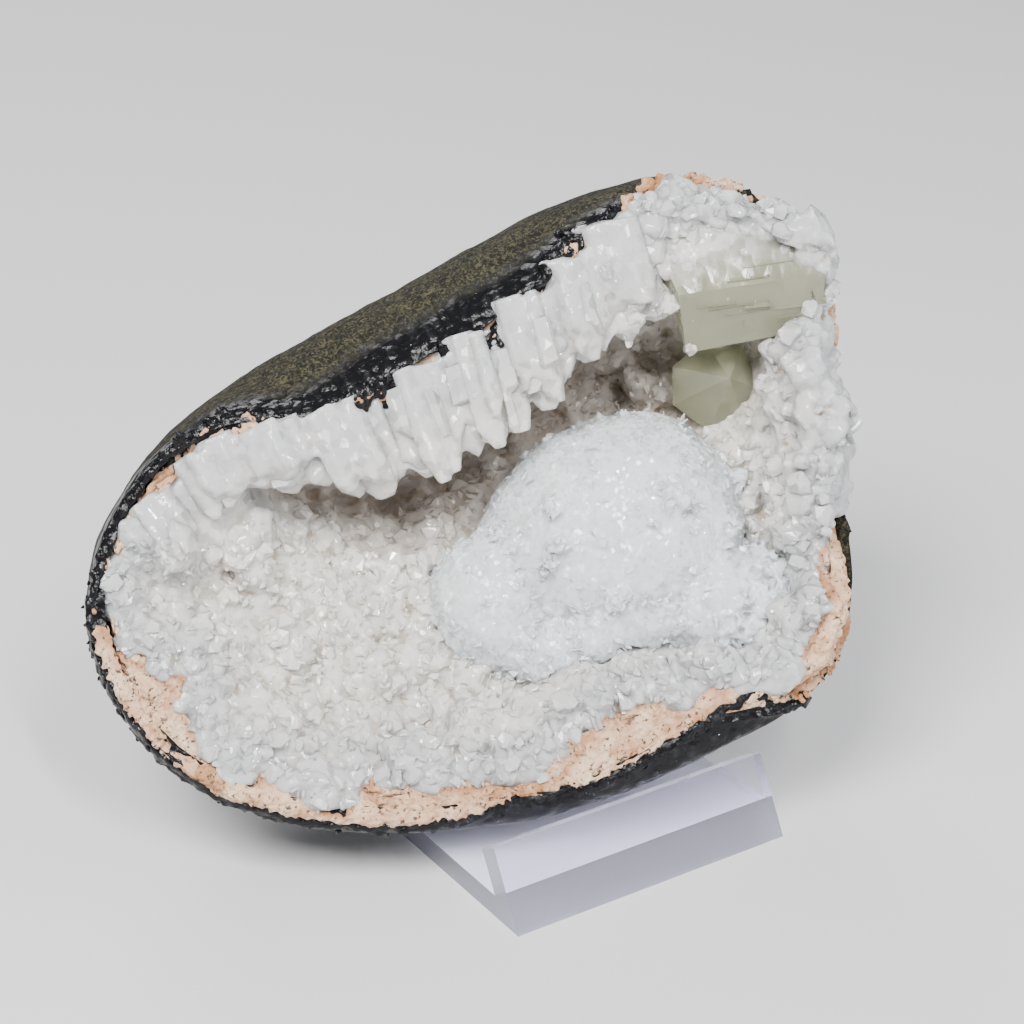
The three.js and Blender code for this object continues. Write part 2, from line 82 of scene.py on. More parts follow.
# %% [markdown]
# The camera comes early, because every later choice is judged through it. A short lens from close by
# could frame the stone too, but it would swell its nearest parts. So it stands a third of a metre away
# with a long lens, turned and raised so that the open face is seen almost square on.

# %% Camera
CAMERA_PLACE = Vector((-174.36, -260.03, 196.8)) * MM
CAMERA_TURN, CAMERA_DOWN = -33.145, 26.493

camera_data = bpy.data.cameras.new("camera")
camera_data.lens = 100
camera_data.sensor_width = 36
camera_data.clip_start = 0.01
camera = bpy.data.objects.new("camera", camera_data)
bpy.context.collection.objects.link(camera)
camera.location = CAMERA_PLACE
camera.rotation_euler = (math.radians(90 - CAMERA_DOWN), 0, math.radians(CAMERA_TURN))
bpy.context.scene.camera = camera
print("camera", round(CAMERA_PLACE.length, 3), "m from the middle of the stand's foot")

# %% [markdown]
# White crystals need soft light with a clear main direction, so that their facets part from each other.
# One even dome would be simpler, but it leaves white on white. So a large panel at the upper left is the
# main light, a weaker one at the right fills the shadows, one behind lights the skin's back edge, and two
# narrow bright strips give the sparkles and the reflection on the hook. The floor is a plain pale sheet.

# %% Floor and lights
FLOOR_HALF = 1.5
FLOOR_GAP = 0.0001


def area_light(name, place, aim, width, height, watts, colour=(1, 1, 1)):
    data = bpy.data.lights.new(name, "AREA")
    data.shape = "RECTANGLE"
    data.size, data.size_y = width, height
    data.energy = watts
    data.color = colour
    light = bpy.data.objects.new(name, data)
    bpy.context.collection.objects.link(light)
    light.location = place
    light.rotation_euler = (Vector(aim) - Vector(place)).to_track_quat("-Z", "Y").to_euler()
    return light


STONE_MIDDLE = (-0.005, 0.005, 0.04)
area_light("main_light", (-0.42, -0.25, 0.62), STONE_MIDDLE, 0.3, 0.3, 11.2, (1, 0.985, 0.955))
area_light("fill_light", (0.6, -0.45, 0.35), STONE_MIDDLE, 0.5, 0.5, 2.4, (0.93, 0.96, 1))
area_light("back_light", (0.1, 0.7, 0.6), STONE_MIDDLE, 0.5, 0.3, 4.2)
area_light("sparkle_light", (-0.12, -0.5, 0.55), STONE_MIDDLE, 0.03, 0.3, 4.5)
area_light("strip_light", (0.29, -0.49, 0.25), (0, -0.025, 0.005), 0.5, 0.007, 0.9)

floor_mesh = bpy.data.meshes.new("floor")
floor_corners = [(x * FLOOR_HALF, y * FLOOR_HALF, 0) for x, y in ((-1, -1), (1, -1), (1, 1), (-1, 1))]
floor_mesh.from_pydata(floor_corners, [], [(0, 1, 2, 3)])
floor = bpy.data.objects.new("floor", floor_mesh)
bpy.context.collection.objects.link(floor)
floor.location.z = -FLOOR_GAP
floor_material = bpy.data.materials.new("pale_floor")
floor_material.use_nodes = True
floor_shader = floor_material.node_tree.nodes["Principled BSDF"]
floor_shader.inputs["Base Color"].default_value = (0.62, 0.62, 0.63, 1)
floor_shader.inputs["Roughness"].default_value = 0.7
floor_mesh.materials.append(floor_material)

world = bpy.data.worlds.new("studio")
bpy.context.scene.world = world
world.use_nodes = True
world.node_tree.nodes["Background"].inputs["Color"].default_value = (0.93, 0.95, 1, 1)
world.node_tree.nodes["Background"].inputs["Strength"].default_value = 0.3

# %% [markdown]
# Materials are built in code. Each node could be added and linked line by line, but short helpers save a
# lot of typing: they add a node, set its values and link what is passed to its inputs.

# %% Helpers for materials


def new_material(name):
    """A material, its node tree and its shader."""
    material = bpy.data.materials.new(name)
    material.use_nodes = True
    shader = material.node_tree.nodes["Principled BSDF"]
    return material, material.node_tree, shader


def add(tree, kind, inputs=None, **settings):
    """A node of that kind. Each input is a plain value or the socket that feeds it."""
    made = tree.nodes.new(kind)
    for key, value in settings.items():
        setattr(made, key, value)
    for key, value in (inputs or {}).items():
        if isinstance(value, bpy.types.NodeSocket):
            tree.links.new(value, made.inputs[key])
        else:
            made.inputs[key].default_value = value
    return made


def ramp(tree, fac, stops):
    """A colour ramp through (place, colour) stops. A plain number stands for a grey."""
    made = add(tree, "ShaderNodeValToRGB", {"Fac": fac})
    elements = made.color_ramp.elements
    while len(elements) < len(stops):
        elements.new(0.5)
    for element, (place, colour) in zip(elements, stops):
        element.position = place
        element.color = (*colour, 1) if isinstance(colour, tuple) else (colour, colour, colour, 1)
    return made.outputs["Color"]


def mix(tree, fac, a, b):
    """Colour a where fac is 0 and b where it is 1."""
    made = add(tree, "ShaderNodeMix", data_type="RGBA")
    for socket, value in zip((made.inputs[0], made.inputs[6], made.inputs[7]), (fac, a, b)):
        if isinstance(value, bpy.types.NodeSocket):
            tree.links.new(value, socket)
        elif isinstance(value, tuple):
            socket.default_value = (*value, 1)
        else:
            socket.default_value = value
    return made.outputs[2]


def attribute(tree, name):
    """A number that the mesh keeps for each of its corners."""
    return add(tree, "ShaderNodeAttribute", attribute_name=name).outputs["Fac"]


def put(tree, shader, **sockets):
    """Sets the shader's sockets: names have underscores for spaces."""
    for key, value in sockets.items():
        socket = shader.inputs[key.replace("_", " ")]
        if isinstance(value, bpy.types.NodeSocket):
            tree.links.new(value, socket)
        elif isinstance(value, tuple) and len(value) == 3 and socket.type == "RGBA":
            socket.default_value = (*value, 1)
        else:
            socket.default_value = value


# %% [markdown]
# Three effects turn up in several finishes. Grain is the sugary, crumbled relief of broken mineral.
# Stains are soft blotches of another colour. Facets are small flat faces, each with a lean and a chance
# of its own, as on broken crystal. They could be written out in every material, but each is built once as
# a node group with named inputs, so that a material only places it with its own values.

# %% Shared effects: grain, stains and facets


def effect_group(name, inputs, outputs):
    """An empty node group with float inputs and their defaults, and float outputs."""
    group = bpy.data.node_groups.new(name, "ShaderNodeTree")
    for socket, default in inputs.items():
        made = group.interface.new_socket(socket, in_out="INPUT", socket_type="NodeSocketFloat")
        made.default_value = default
    for socket in outputs:
        group.interface.new_socket(socket, in_out="OUTPUT", socket_type="NodeSocketFloat")
    start = group.nodes.new("NodeGroupInput")
    end = group.nodes.new("NodeGroupOutput")
    place = group.nodes.new("ShaderNodeTexCoord").outputs["Object"]
    return group, start, end, place


def calculate(tree, operation, *values):
    """A sum on masks, which are sockets, or on plain numbers."""
    return add(tree, "ShaderNodeMath", dict(enumerate(values)), operation=operation).outputs[0]


grain_group, grain_in, grain_out, grain_place = effect_group(
    "grain", {"Size": 800.0, "Pits": 0.4}, ["Height", "Pit"]
)
grain_size, pit_share = grain_in.outputs["Size"], grain_in.outputs["Pits"]
grain_noise = add(
    grain_group, "ShaderNodeTexNoise", {"Vector": grain_place, "Scale": grain_size, "Detail": 4.0}
)
grain_cells = add(grain_group, "ShaderNodeTexVoronoi", {"Vector": grain_place, "Scale": grain_size})
grain_height = calculate(
    grain_group, "SUBTRACT", grain_noise.outputs["Fac"], grain_cells.outputs["Distance"]
)
pit_size = calculate(grain_group, "MULTIPLY", grain_size, 1.4)
pit_noise = add(grain_group, "ShaderNodeTexNoise", {"Vector": grain_place, "Scale": pit_size, "Detail": 3.0})
pit_edge = calculate(grain_group, "ADD", pit_share, 0.06)
pit_mask = add(
    grain_group, "ShaderNodeMapRange",
    {"Value": pit_noise.outputs["Fac"], "From Min": pit_edge, "From Max": pit_share},
)
grain_group.links.new(grain_height, grain_out.inputs["Height"])
grain_group.links.new(pit_mask.outputs["Result"], grain_out.inputs["Pit"])

stain_group, stain_in, stain_out, stain_place = effect_group(
    "stains", {"Size": 60.0, "Cover": 0.5, "Soft": 0.1}, ["Mask"]
)
stain_noise = add(
    stain_group, "ShaderNodeTexNoise",
    {"Vector": stain_place, "Scale": stain_in.outputs["Size"], "Detail": 4.0, "Roughness": 0.6},
)
stain_low = calculate(stain_group, "SUBTRACT", 1.0, stain_in.outputs["Cover"])
stain_high = calculate(stain_group, "ADD", stain_low, stain_in.outputs["Soft"])
stain_mask = add(
    stain_group, "ShaderNodeMapRange",
    {"Value": stain_noise.outputs["Fac"], "From Min": stain_low, "From Max": stain_high},
    interpolation_type="SMOOTHSTEP",
)
stain_group.links.new(stain_mask.outputs["Result"], stain_out.inputs["Mask"])

facet_group, facet_in, facet_out, facet_place = effect_group("facets", {"Size": 400.0}, ["Height", "Chance"])
facet_cells = add(
    facet_group, "ShaderNodeTexVoronoi", {"Vector": facet_place, "Scale": facet_in.outputs["Size"]}
)
facet_middle, facet_dice = facet_cells.outputs["Position"], facet_cells.outputs["Color"]
facet_offset = add(
    facet_group, "ShaderNodeVectorMath", {0: facet_place, 1: facet_middle}, operation="SUBTRACT"
)
facet_lean = add(
    facet_group, "ShaderNodeVectorMath", {0: facet_dice, 1: (0.5, 0.5, 0.5)}, operation="SUBTRACT"
)
facet_slope = add(
    facet_group, "ShaderNodeVectorMath", {0: facet_offset.outputs[0], 1: facet_lean.outputs[0]},
    operation="DOT_PRODUCT",
)
facet_chance = add(facet_group, "ShaderNodeSeparateColor", {"Color": facet_dice})
facet_group.links.new(facet_slope.outputs["Value"], facet_out.inputs["Height"])
facet_group.links.new(facet_chance.outputs["Red"], facet_out.inputs["Chance"])


def effect(tree, group, **values):
    """Places a shared effect in a material with its own values."""
    made = tree.nodes.new("ShaderNodeGroup")
    made.node_tree = group
    for name, value in values.items():
        made.inputs[name].default_value = value
    return made.outputs


def stains(tree, size, cover, soft=0.1):
    """A mask of blotches: their size, the share that they cover and how soft their edges are."""
    return effect(tree, stain_group, Size=size, Cover=cover, Soft=soft)["Mask"]


def bump(tree, height, strength, distance):
    """A normal that follows a height."""
    made = add(tree, "ShaderNodeBump", {"Height": height, "Strength": strength, "Distance": distance})
    return made.outputs["Normal"]


def both(tree, a, b):
    """The part that two masks share."""
    return calculate(tree, "MULTIPLY", a, b)


# %% [markdown]
# The skin of the nodule is weathered basalt: olive and black, in a fine maze. Where it broke, it is
# black and glassy, and its sparkle is painted on as pale specks. Both looks are in one material, which
# mixes them by the number "broken" that the mesh keeps, so that the change follows the broken edge. Two
# materials with a hard seam would show as a line.

# %% The dark skin's finish
BLACK = (0.004, 0.004, 0.003)


def skin_material():
    """Olive to black, in a fine maze of speckles, and glossy black where it broke, with pale specks painted on
    as glints.
    """
    material, tree, shader = new_material("olive_black_skin")
    place = add(tree, "ShaderNodeTexCoord").outputs["Object"]
    drawn_out = {"Vector": place, "Rotation": (0.3, 0.8, 0.2), "Scale": (1, 1, 1.8)}
    lined = add(tree, "ShaderNodeMapping", drawn_out).outputs["Vector"]
    maze_look = {"Vector": lined, "Scale": 1600.0, "Detail": 3.0, "Roughness": 0.5, "Distortion": 1.4}
    maze = add(tree, "ShaderNodeTexNoise", maze_look).outputs["Fac"]
    olive = ramp(tree, maze, [(0.42, BLACK), (0.52, (0.022, 0.020, 0.011)), (0.64, (0.058, 0.052, 0.029))])
    dark = ramp(tree, maze, [(0.45, BLACK), (0.68, (0.03, 0.028, 0.017))])
    body = mix(tree, stains(tree, 45, 0.5, 0.2), olive, dark)
    broken = ramp(tree, attribute(tree, "broken"), [(0.35, 0.0), (0.7, 1.0)])
    grain = effect(tree, grain_group, Size=620, Pits=0.42)
    glassy = ramp(tree, grain["Height"], [(0.1, (0.004, 0.004, 0.005)), (0.75, (0.018, 0.019, 0.022))])
    # Pale specks on the broken edge are painted glints of its glassy faces
    painted_glints = both(tree, broken, stains(tree, 2200, 0.30, 0.03))
    colour = mix(tree, painted_glints, mix(tree, broken, body, glassy), (0.55, 0.56, 0.58))
    rough = mix(tree, broken, (0.8, 0.8, 0.8), (0.22, 0.22, 0.22))
    relief = bump(tree, grain["Height"], 0.6, 0.0005)
    put(tree, shader, Base_Color=colour, Roughness=rough, Normal=relief, Specular_IOR_Level=0.22)
    return material


# %% [markdown]
# Between the skin and the crystals lies a tan layer like brown sugar. Its colour needs several scales:
# broad orange stains, a mottle of peach and cream, and dots and pits that are nearly black. The rust
# along the crystals comes from a number that the mesh keeps, so it stays at their feet.

# %% The tan layer's finish


def tan_material():
    """Cream and peach sugar, with brown pits and orange-brown stains."""
    material, tree, shader = new_material("sugary_tan")
    grain = effect(tree, grain_group, Size=1300, Pits=0.34)
    place = add(tree, "ShaderNodeTexCoord").outputs["Object"]
    mottle_look = {"Vector": place, "Scale": 230.0, "Detail": 6.0, "Roughness": 0.65}
    mottle = add(tree, "ShaderNodeTexNoise", mottle_look).outputs["Fac"]
    base = ramp(tree, mottle, [
        (0.34, (0.36, 0.17, 0.085)), (0.45, (0.52, 0.30, 0.18)),
        (0.55, (0.64, 0.42, 0.27)), (0.70, (0.74, 0.56, 0.40)),
    ])
    tone = attribute(tree, "tone")
    grains = mix(tree, ramp(tree, tone, [(0.3, 0.0), (1.0, 0.35)]), base, (0.76, 0.60, 0.45))
    dirt = ramp(tree, tone, [(0.05, 1.0), (0.10, 0.0)])
    rusty = mix(tree, stains(tree, 110, 0.46, 0.12), grains, (0.40, 0.19, 0.08))
    rusted = mix(tree, attribute(tree, "rust"), rusty, (0.36, 0.15, 0.055))
    dotted = both(tree, stains(tree, 120, 0.52, 0.1), stains(tree, 1500, 0.43, 0.05))
    speckled = mix(tree, dotted, mix(tree, dirt, rusted, (0.09, 0.05, 0.03)), (0.05, 0.03, 0.02))
    pitted = mix(tree, grain["Pit"], speckled, (0.12, 0.06, 0.035))
    relief = bump(tree, grain["Height"], 0.9, 0.0004)
    put(tree, shader, Base_Color=pitted, Roughness=0.75, Normal=relief)
    put(tree, shader, Subsurface_Weight=0.1, Subsurface_Radius=(0.8, 0.5, 0.3), Subsurface_Scale=0.001)
    return material


# %% [markdown]
# The white crystals are milky: light enters them, scatters and comes out nearby. Clear glass with a haze
# inside would be truer and far slower, so the shader's own scattering does it, over a millimetre or two.
# The colour turns from cool white at the rim to cream further in, and deep in the recess to a painted shade of
# beige; the creases get painted shade, broken up by stains.
# Fine facets lean the surface this way and that, and some of them are polished, so single faces flash.
# Broad ones change its tone.

# %% The white crystals' finish
COOL_GREY = (0.45, 0.46, 0.48)


def crystal_material(name, colours, facets, milky, depth, relief_strength=0.9):
    """Milky crystal in broad and fine facets: white outside, cream further in, with painted shade deep in the
    recess and in the creases.
    """
    bright, cream, deep_shade, crease = colours
    broad, fine = facets
    material, tree, shader = new_material(name)
    # Deep in the recess the colour turns to painted shade: beige on the crystals and grey on the ball
    body = ramp(tree, attribute(tree, "warm"), [(0.0, bright), (0.4, cream), (1.0, deep_shade)])
    cloudy = mix(tree, stains(tree, 170, 0.45, 0.3), body, tuple(0.93 * v for v in bright))
    # Painted shade in the creases, strongest in the deepest, broken up by stains
    in_creases = ramp(tree, attribute(tree, "crease"), [(0.2, 0.0), (0.75, 1.0)])
    crease_shade_and_stains = both(tree, in_creases, stains(tree, 150, 0.68, 0.2))
    broad_facets = effect(tree, facet_group, Size=broad)
    fine_facets = effect(tree, facet_group, Size=fine)
    rough = ramp(tree, fine_facets["Chance"], [(0.0, 0.34), (0.52, 0.2), (0.6, 0.06), (1.0, 0.03)])
    greyed = ramp(tree, broad_facets["Chance"], [(0.2, 0.0), (0.8, 0.12)])
    # The colour crease is the painted shade of the creases
    colour = mix(tree, crease_shade_and_stains, mix(tree, greyed, cloudy, COOL_GREY), crease)
    leaning = bump(tree, fine_facets["Height"], relief_strength, 1.0)
    shader.subsurface_method = "BURLEY"
    put(tree, shader, Base_Color=colour, Roughness=rough, IOR=1.5, Normal=leaning)
    put(tree, shader, Subsurface_Weight=milky, Subsurface_Radius=(1.0, 0.97, 0.92), Subsurface_Scale=depth)
    return material


# %% [markdown]
# Calcite and acrylic are clear. The calcite is pale yellow and cloudy, so a part of its light passes and
# a part scatters, and its top is frosted. The acrylic has a faint violet tint. A solid block of it would
# throw a dark shadow, because the renderer doesn't bend light on its way to a lamp, so most shadow rays
# simply pass it.

# %% The clear finishes


def calcite_material():
    """Pale yellow-green calcite, clear inside and frosted in patches."""
    material, tree, shader = new_material("pale_yellow_calcite")
    high = attribute(tree, "frost")
    veil = ramp(tree, stains(tree, 260, 0.45, 0.25), [(0.0, 0.10), (1.0, 0.42)])
    rough = mix(tree, high, veil, (0.6, 0.6, 0.6))
    colour = mix(tree, high, (0.56, 0.56, 0.39), (0.64, 0.63, 0.58))
    grain = effect(tree, grain_group, Size=420, Pits=0.3)
    relief = bump(tree, grain["Height"], 0.22, 0.0004)
    put(tree, shader, Base_Color=colour, Roughness=rough, Transmission_Weight=0.7, IOR=1.6, Normal=relief)
    put(tree, shader, Subsurface_Weight=0.35, Subsurface_Radius=(1.0, 0.97, 0.7), Subsurface_Scale=0.003)
    return material


def acrylic_material():
    """Clear acrylic sheet with a faint violet-grey tint, which shadow rays pass."""
    material, tree, shader = new_material("clear_acrylic")
    shadow = add(tree, "ShaderNodeLightPath").outputs["Is Shadow Ray"]
    solid = calculate(tree, "MULTIPLY_ADD", shadow, -0.85, 1.0)
    put(tree, shader, Base_Color=(0.78, 0.78, 0.9), Roughness=0.01, Transmission_Weight=0.9, IOR=1.49)
    put(tree, shader, Alpha=solid)
    return material


skin_finish = skin_material()
tan_finish = tan_material()
# Each: the outer white, the cream further in, the painted shade deep in the recess and the painted shade in
# the creases
WHITE = [(0.475, 0.48, 0.488), (0.64, 0.61, 0.565), (0.53, 0.475, 0.42), (0.40, 0.32, 0.24)]
SNOW = [(0.62, 0.65, 0.685), (0.62, 0.645, 0.675), (0.56, 0.56, 0.56), (0.42, 0.46, 0.52)]
white_finish = crystal_material("milky_crystal", WHITE, (380, 950), 0.75, 0.0018)
crisp_finish = crystal_material("crisp_crystal", WHITE, (250, 600), 0.45, 0.0007)
ball_finish = crystal_material("snowy_goosecreekite", SNOW, (900, 2000), 0.75, 0.0022, 0.85)
blade_finish = crystal_material("goosecreekite_blades", SNOW, (500, 1500), 0.45, 0.0006)
calcite_finish = calcite_material()
acrylic_finish = acrylic_material()
print("materials:", [m.name for m in bpy.data.materials])

# %% [markdown]
# A imported solid comes in as flat facets, each with corners of its own. Welding those corners and
# subdividing gives a smooth skin of the same form, which later steps roughen. Sharp edges are kept by
# creasing them first. Every finished mesh becomes a piece the same way: a finish and a ride on the only
# body.

# %% Helpers for meshes


def new_piece(name, mesh, material, smooth):
    """A piece that is seen: a mesh with its finish and the body that it rides on."""
    piece = bpy.data.objects.new(name, mesh)
    bpy.context.collection.objects.link(piece)
    mesh.materials.clear()
    mesh.materials.append(material)
    mesh.polygons.foreach_set("use_smooth", np.full(len(mesh.polygons), smooth))
    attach(piece, "root")
    return piece


def refined(node_name, levels, crease_angle=50):
    """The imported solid's mesh, welded and subdivided, with creases where it bends sharply."""
    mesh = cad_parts[node_name].data.copy()
    made = bmesh.new()
    made.from_mesh(mesh)
    bmesh.ops.remove_doubles(made, verts=made.verts, dist=0.02 * MM)
    crease = made.edges.layers.float.new("crease_edge")
    for edge in made.edges:
        if len(edge.link_faces) == 2 and edge.calc_face_angle() > math.radians(crease_angle):
            edge[crease] = 0.6
    made.to_mesh(mesh)
    made.free()
    scratch = bpy.data.objects.new("scratch", mesh)
    bpy.context.collection.objects.link(scratch)
    divide = scratch.modifiers.new("divide", "SUBSURF")
    divide.levels = levels
    fine = bpy.data.meshes.new_from_object(scratch.evaluated_get(bpy.context.evaluated_depsgraph_get()))
    bpy.data.objects.remove(scratch)
    return fine


def unit(vectors):
    """The same directions, one long."""
    return vectors / np.maximum(np.linalg.norm(vectors, axis=-1, keepdims=True), 1e-9)


def corners(mesh):
    """The places of a mesh's corners, in metres."""
    points = np.empty(len(mesh.vertices) * 3)
    mesh.vertices.foreach_get("co", points)
    return points.reshape(-1, 3)


def outward(mesh):
    """The way out of the mesh at each corner."""
    normals = np.empty(len(mesh.vertices) * 3, dtype=np.float32)
    mesh.vertex_normals.foreach_get("vector", normals)
    return normals.reshape(-1, 3)


def place_corners(mesh, points):
    mesh.vertices.foreach_set("co", points.astype(np.float32).ravel())
    mesh.update()


def bumps(points, size, start=0.0):
    """Smooth noise of about -1 to 1 over points in millimetres, with lumps of that size."""
    return np.array([noise.noise(Vector(p) / size + Vector((start, 2 * start, 3 * start))) for p in points])


def note(mesh, name, values):
    """Keeps one number for each corner, which a material reads by name."""
    mesh.attributes.new(name, "FLOAT", "POINT").data.foreach_set("value", values.astype(np.float32))


# %% [markdown]
# Crystals that only pass through each other look like rubble, because each has a dark outline and hidden
# walls inside. In a druse they grew together. A fine grid that wraps them in one skin does that: it keeps
# the outer faces, drops what is inside, and lets light wander through the whole. The skin then notes its
# creases.

# %% Helpers for skins that grew together
# How fine the grids are, in millimetres: for the bed, lobes and edges, finer skins and sugar grains
BED_GRID, LOBE_GRID, FINE_GRID, SUGAR_GRID = 0.53, 0.36, 0.3, 0.25
# The bend between neighbouring corners that counts as the sharpest crease
SHARP_CREASE = 0.25


def grown_together(mesh, grid):
    """The same crystals as one skin: a fine grid of that many millimetres drops the faces inside it."""
    scratch = bpy.data.objects.new("scratch", mesh)
    bpy.context.collection.objects.link(scratch)
    join = scratch.modifiers.new("join", "REMESH")
    join.mode = "VOXEL"
    join.voxel_size = grid * MM
    skin = bpy.data.meshes.new_from_object(scratch.evaluated_get(bpy.context.evaluated_depsgraph_get()))
    skin.name = mesh.name
    bpy.data.objects.remove(scratch)
    print(mesh.name, "as one skin:", len(skin.polygons), "faces")
    return skin


def joined(name, *meshes):
    """One mesh of several, with their places alone."""
    made = bmesh.new()
    for mesh in meshes:
        made.from_mesh(mesh)
    whole = bpy.data.meshes.new(name)
    made.to_mesh(whole)
    made.free()
    return whole


def creases(mesh):
    """How deep in a crease each corner lies: 0 on the bulges and 1 in the sharpest creases."""
    pairs = np.empty(len(mesh.edges) * 2, dtype=int)
    mesh.edges.foreach_get("vertices", pairs)
    a, b = pairs.reshape(-1, 2).T
    points, normals = corners(mesh), outward(mesh)
    along = unit(points[b] - points[a])
    count = len(points)
    shares = np.maximum(np.bincount(a, minlength=count) + np.bincount(b, minlength=count), 1)
    rise_a, rise_b = (along * normals[a]).sum(1), (along * normals[b]).sum(1)
    bend = (np.bincount(a, rise_a, count) - np.bincount(b, rise_b, count)) / shares
    for _ in range(2):
        around = (np.bincount(a, bend[b], count) + np.bincount(b, bend[a], count)) / shares
        bend = (bend + around) / 2
    return np.clip(bend / SHARP_CREASE, 0, 1)


# %% [markdown]
# Crystals are flat-faced prisms with a point. Each one is three rings of corners: the root, the shoulder,
# and a small worn tip. Thousands are computed at once as arrays and joined in one mesh. Copies of one
# modelled crystal would be quicker to set up, but they all look alike, and these differ in every corner.

# %% Helpers for crystals


def crystal_corners(chance, roots, tips, radii, sides, flat, shoulder, worn):
    """Rings of corners of many crystals: crystal, ring, side, xyz.

    flat is how thick they are for their width, shoulder is where along them the point begins, and worn is how
    broad the end is.
    """
    count = len(roots)
    axis = unit(tips - roots)
    length = np.linalg.norm(tips - roots, axis=1)
    across = unit(np.cross(axis, chance.normal(size=(count, 3))))
    up = np.cross(axis, across)
    turn = (np.arange(sides) + chance.uniform(-0.22, 0.22, (count, sides))) / sides * 2 * np.pi
    reach = radii[:, None] * chance.uniform(0.85, 1.12, (count, sides))
    wide, thick = np.cos(turn) * reach, np.sin(turn) * reach * flat
    spoke = wide[..., None] * across[:, None] + thick[..., None] * up[:, None]
    lean = across * chance.uniform(-0.4, 0.4, (count, 1)) + up * chance.uniform(-0.4, 0.4, (count, 1))
    shoulders = (shoulder + chance.uniform(-0.09, 0.09, (count, sides))) * length[:, None]
    root_ring = roots[:, None] + 0.8 * spoke
    shoulder_ring = roots[:, None] + shoulders[..., None] * axis[:, None] + spoke
    tip_ring = (tips + lean * radii[:, None])[:, None] + worn * spoke
    return np.stack([root_ring, shoulder_ring, tip_ring], axis=1)


def crystal_mesh(name, batches):
    """One mesh of all the batches of rings of corners."""
    points, loops, totals, start = [], [], [], 0
    for rings in batches:
        count, ring_count, sides = rings.shape[:3]
        ids = start + np.arange(count * ring_count * sides).reshape(count, ring_count, sides)
        points.append(to_row(rings.reshape(-1, 3)))
        following = np.roll(ids, -1, axis=2)
        quads = np.stack([ids[:, :-1], following[:, :-1], following[:, 1:], ids[:, 1:]], axis=-1)
        caps = np.concatenate([ids[:, 0, ::-1], ids[:, -1]])
        loops += [quads.ravel(), caps.ravel()]
        totals += [np.full(quads.size // 4, 4), np.full(len(caps), sides)]
        start += ids.size
    mesh = bpy.data.meshes.new(name)
    total = np.concatenate(totals)
    mesh.vertices.add(start)
    mesh.loops.add(int(total.sum()))
    mesh.polygons.add(len(total))
    mesh.loops.foreach_set("vertex_index", np.concatenate(loops))
    mesh.polygons.foreach_set("loop_start", np.concatenate([[0], np.cumsum(total)[:-1]]))
    place_corners(mesh, np.concatenate(points))
    mesh.update(calc_edges=True)
    print(name, len(total), "faces,", int((total - 2).sum()), "triangles")
    return mesh


# %% [markdown]
# The skin curls round the back of the nodule. It could be smooth with a bump in its finish alone, but its
# outline would stay smooth too, so broad lumps move the mesh and only the finest grain is left to the
# finish. Each corner notes how near it is to the broken edge.

# %% The nodule's dark skin


def roughened(node_name, levels, layers, sink, crease_angle=50):
    """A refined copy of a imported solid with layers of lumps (height, size), and its corners as they were."""
    mesh = refined(node_name, levels, crease_angle)
    points = to_stone(corners(mesh))
    push = sum(height * bumps(points, size, size) for height, size in layers) - sink
    place_corners(mesh, to_row(points + push[:, None] * (outward(mesh) @ TILT)))
    return mesh, points


# How far below the open face the skin changes from glassy to weathered
BROKEN_DEPTH = 5

rind_mesh, rind_points = roughened("nodule_rind", 3, [(0.22, 6.0), (0.12, 1.6)], 0.15)
note(rind_mesh, "broken", np.clip(1 + (rind_points[:, 2] + 0.5) / BROKEN_DEPTH, 0, 1))
rind_piece = new_piece("dark_skin", rind_mesh, skin_finish, True)
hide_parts("nodule_rind")
print("dark skin", len(rind_mesh.polygons), "faces")

# %% [markdown]
# The tan layer is a shell like brown sugar between the skin and the crystals. It could be as fine as the
# skin, but it shows only along the rim, where separate grains cover it later, so its own mesh stays
# coarser. It notes a tone for each corner, a smooth noise that lightens some patches.

# %% The tan layer
tan_mesh, tan_points = roughened("chalky_layer", 2, [(0.3, 3.0), (0.3, 1.1)], 0.1)
note(tan_mesh, "tone", 0.5 + 0.5 * bumps(tan_points, 0.9, 3.0))
note(tan_mesh, "rust", np.zeros(len(tan_mesh.vertices)))
tan_piece = new_piece("tan_layer", tan_mesh, tan_finish, True)
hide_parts("chalky_layer")
print("tan layer", len(tan_mesh.polygons), "faces")

# %% [markdown]
# The crystals' outer edge is drawn once, as an outline in x and y, because four later steps need it: what
# grows inside it, what is tan outside it, how rust gathers along it, and how the crystals' colour warms
# away from it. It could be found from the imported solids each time, but one short list of corners is
# easier to read and to change.

# %% The crust under the crystals
CRYSTAL_OUTLINE = np.array([
    (-32.9, 18.4), (-36.1, 16.9), (-39.2, 13), (-45.2, 10.3), (-47.1, 6), (-45.6, 0.2), (-40.3, -4.5),
    (-42, -11.1), (-40.3, -15.7), (-33.4, -21.3), (-31.3, -25.7), (-28.7, -27.3), (-25.8, -25),
    (-20.8, -25.4), (-16.9, -28.8), (-12.6, -30.9), (-7.6, -31.5), (-4, -34), (0.7, -30.7),
    (4.1, -28.9), (9.3, -29.1),
    (15.5, -30.1), (21.8, -31.1), (27, -33), (31, -30.5), (35, -28), (36.7, -21.6), (40.4, -19.2),
    (42.3, -13.3), (44.5, -10.3), (47.4, -8.2), (48.4, -5.3), (47.3, -1.5), (47.3, 2.5), (48.9, 5.1),
    (52.3, 7.7), (54.2, 12.8), (54, 16.5), (50.8, 19.2), (45.9, 23.4), (39.5, 27), (33, 28.5), (30.4, 25.2),
    (25.5, 22.3), (20.4, 22.7), (18.1, 20.4), (13.7, 20.2), (4.5, 17.9), (-2.7, 17.9), (-8.9, 17.8),
    (-12.1, 15.5), (-15.9, 17.2), (-20, 19.2), (-26.3, 18.6),
])


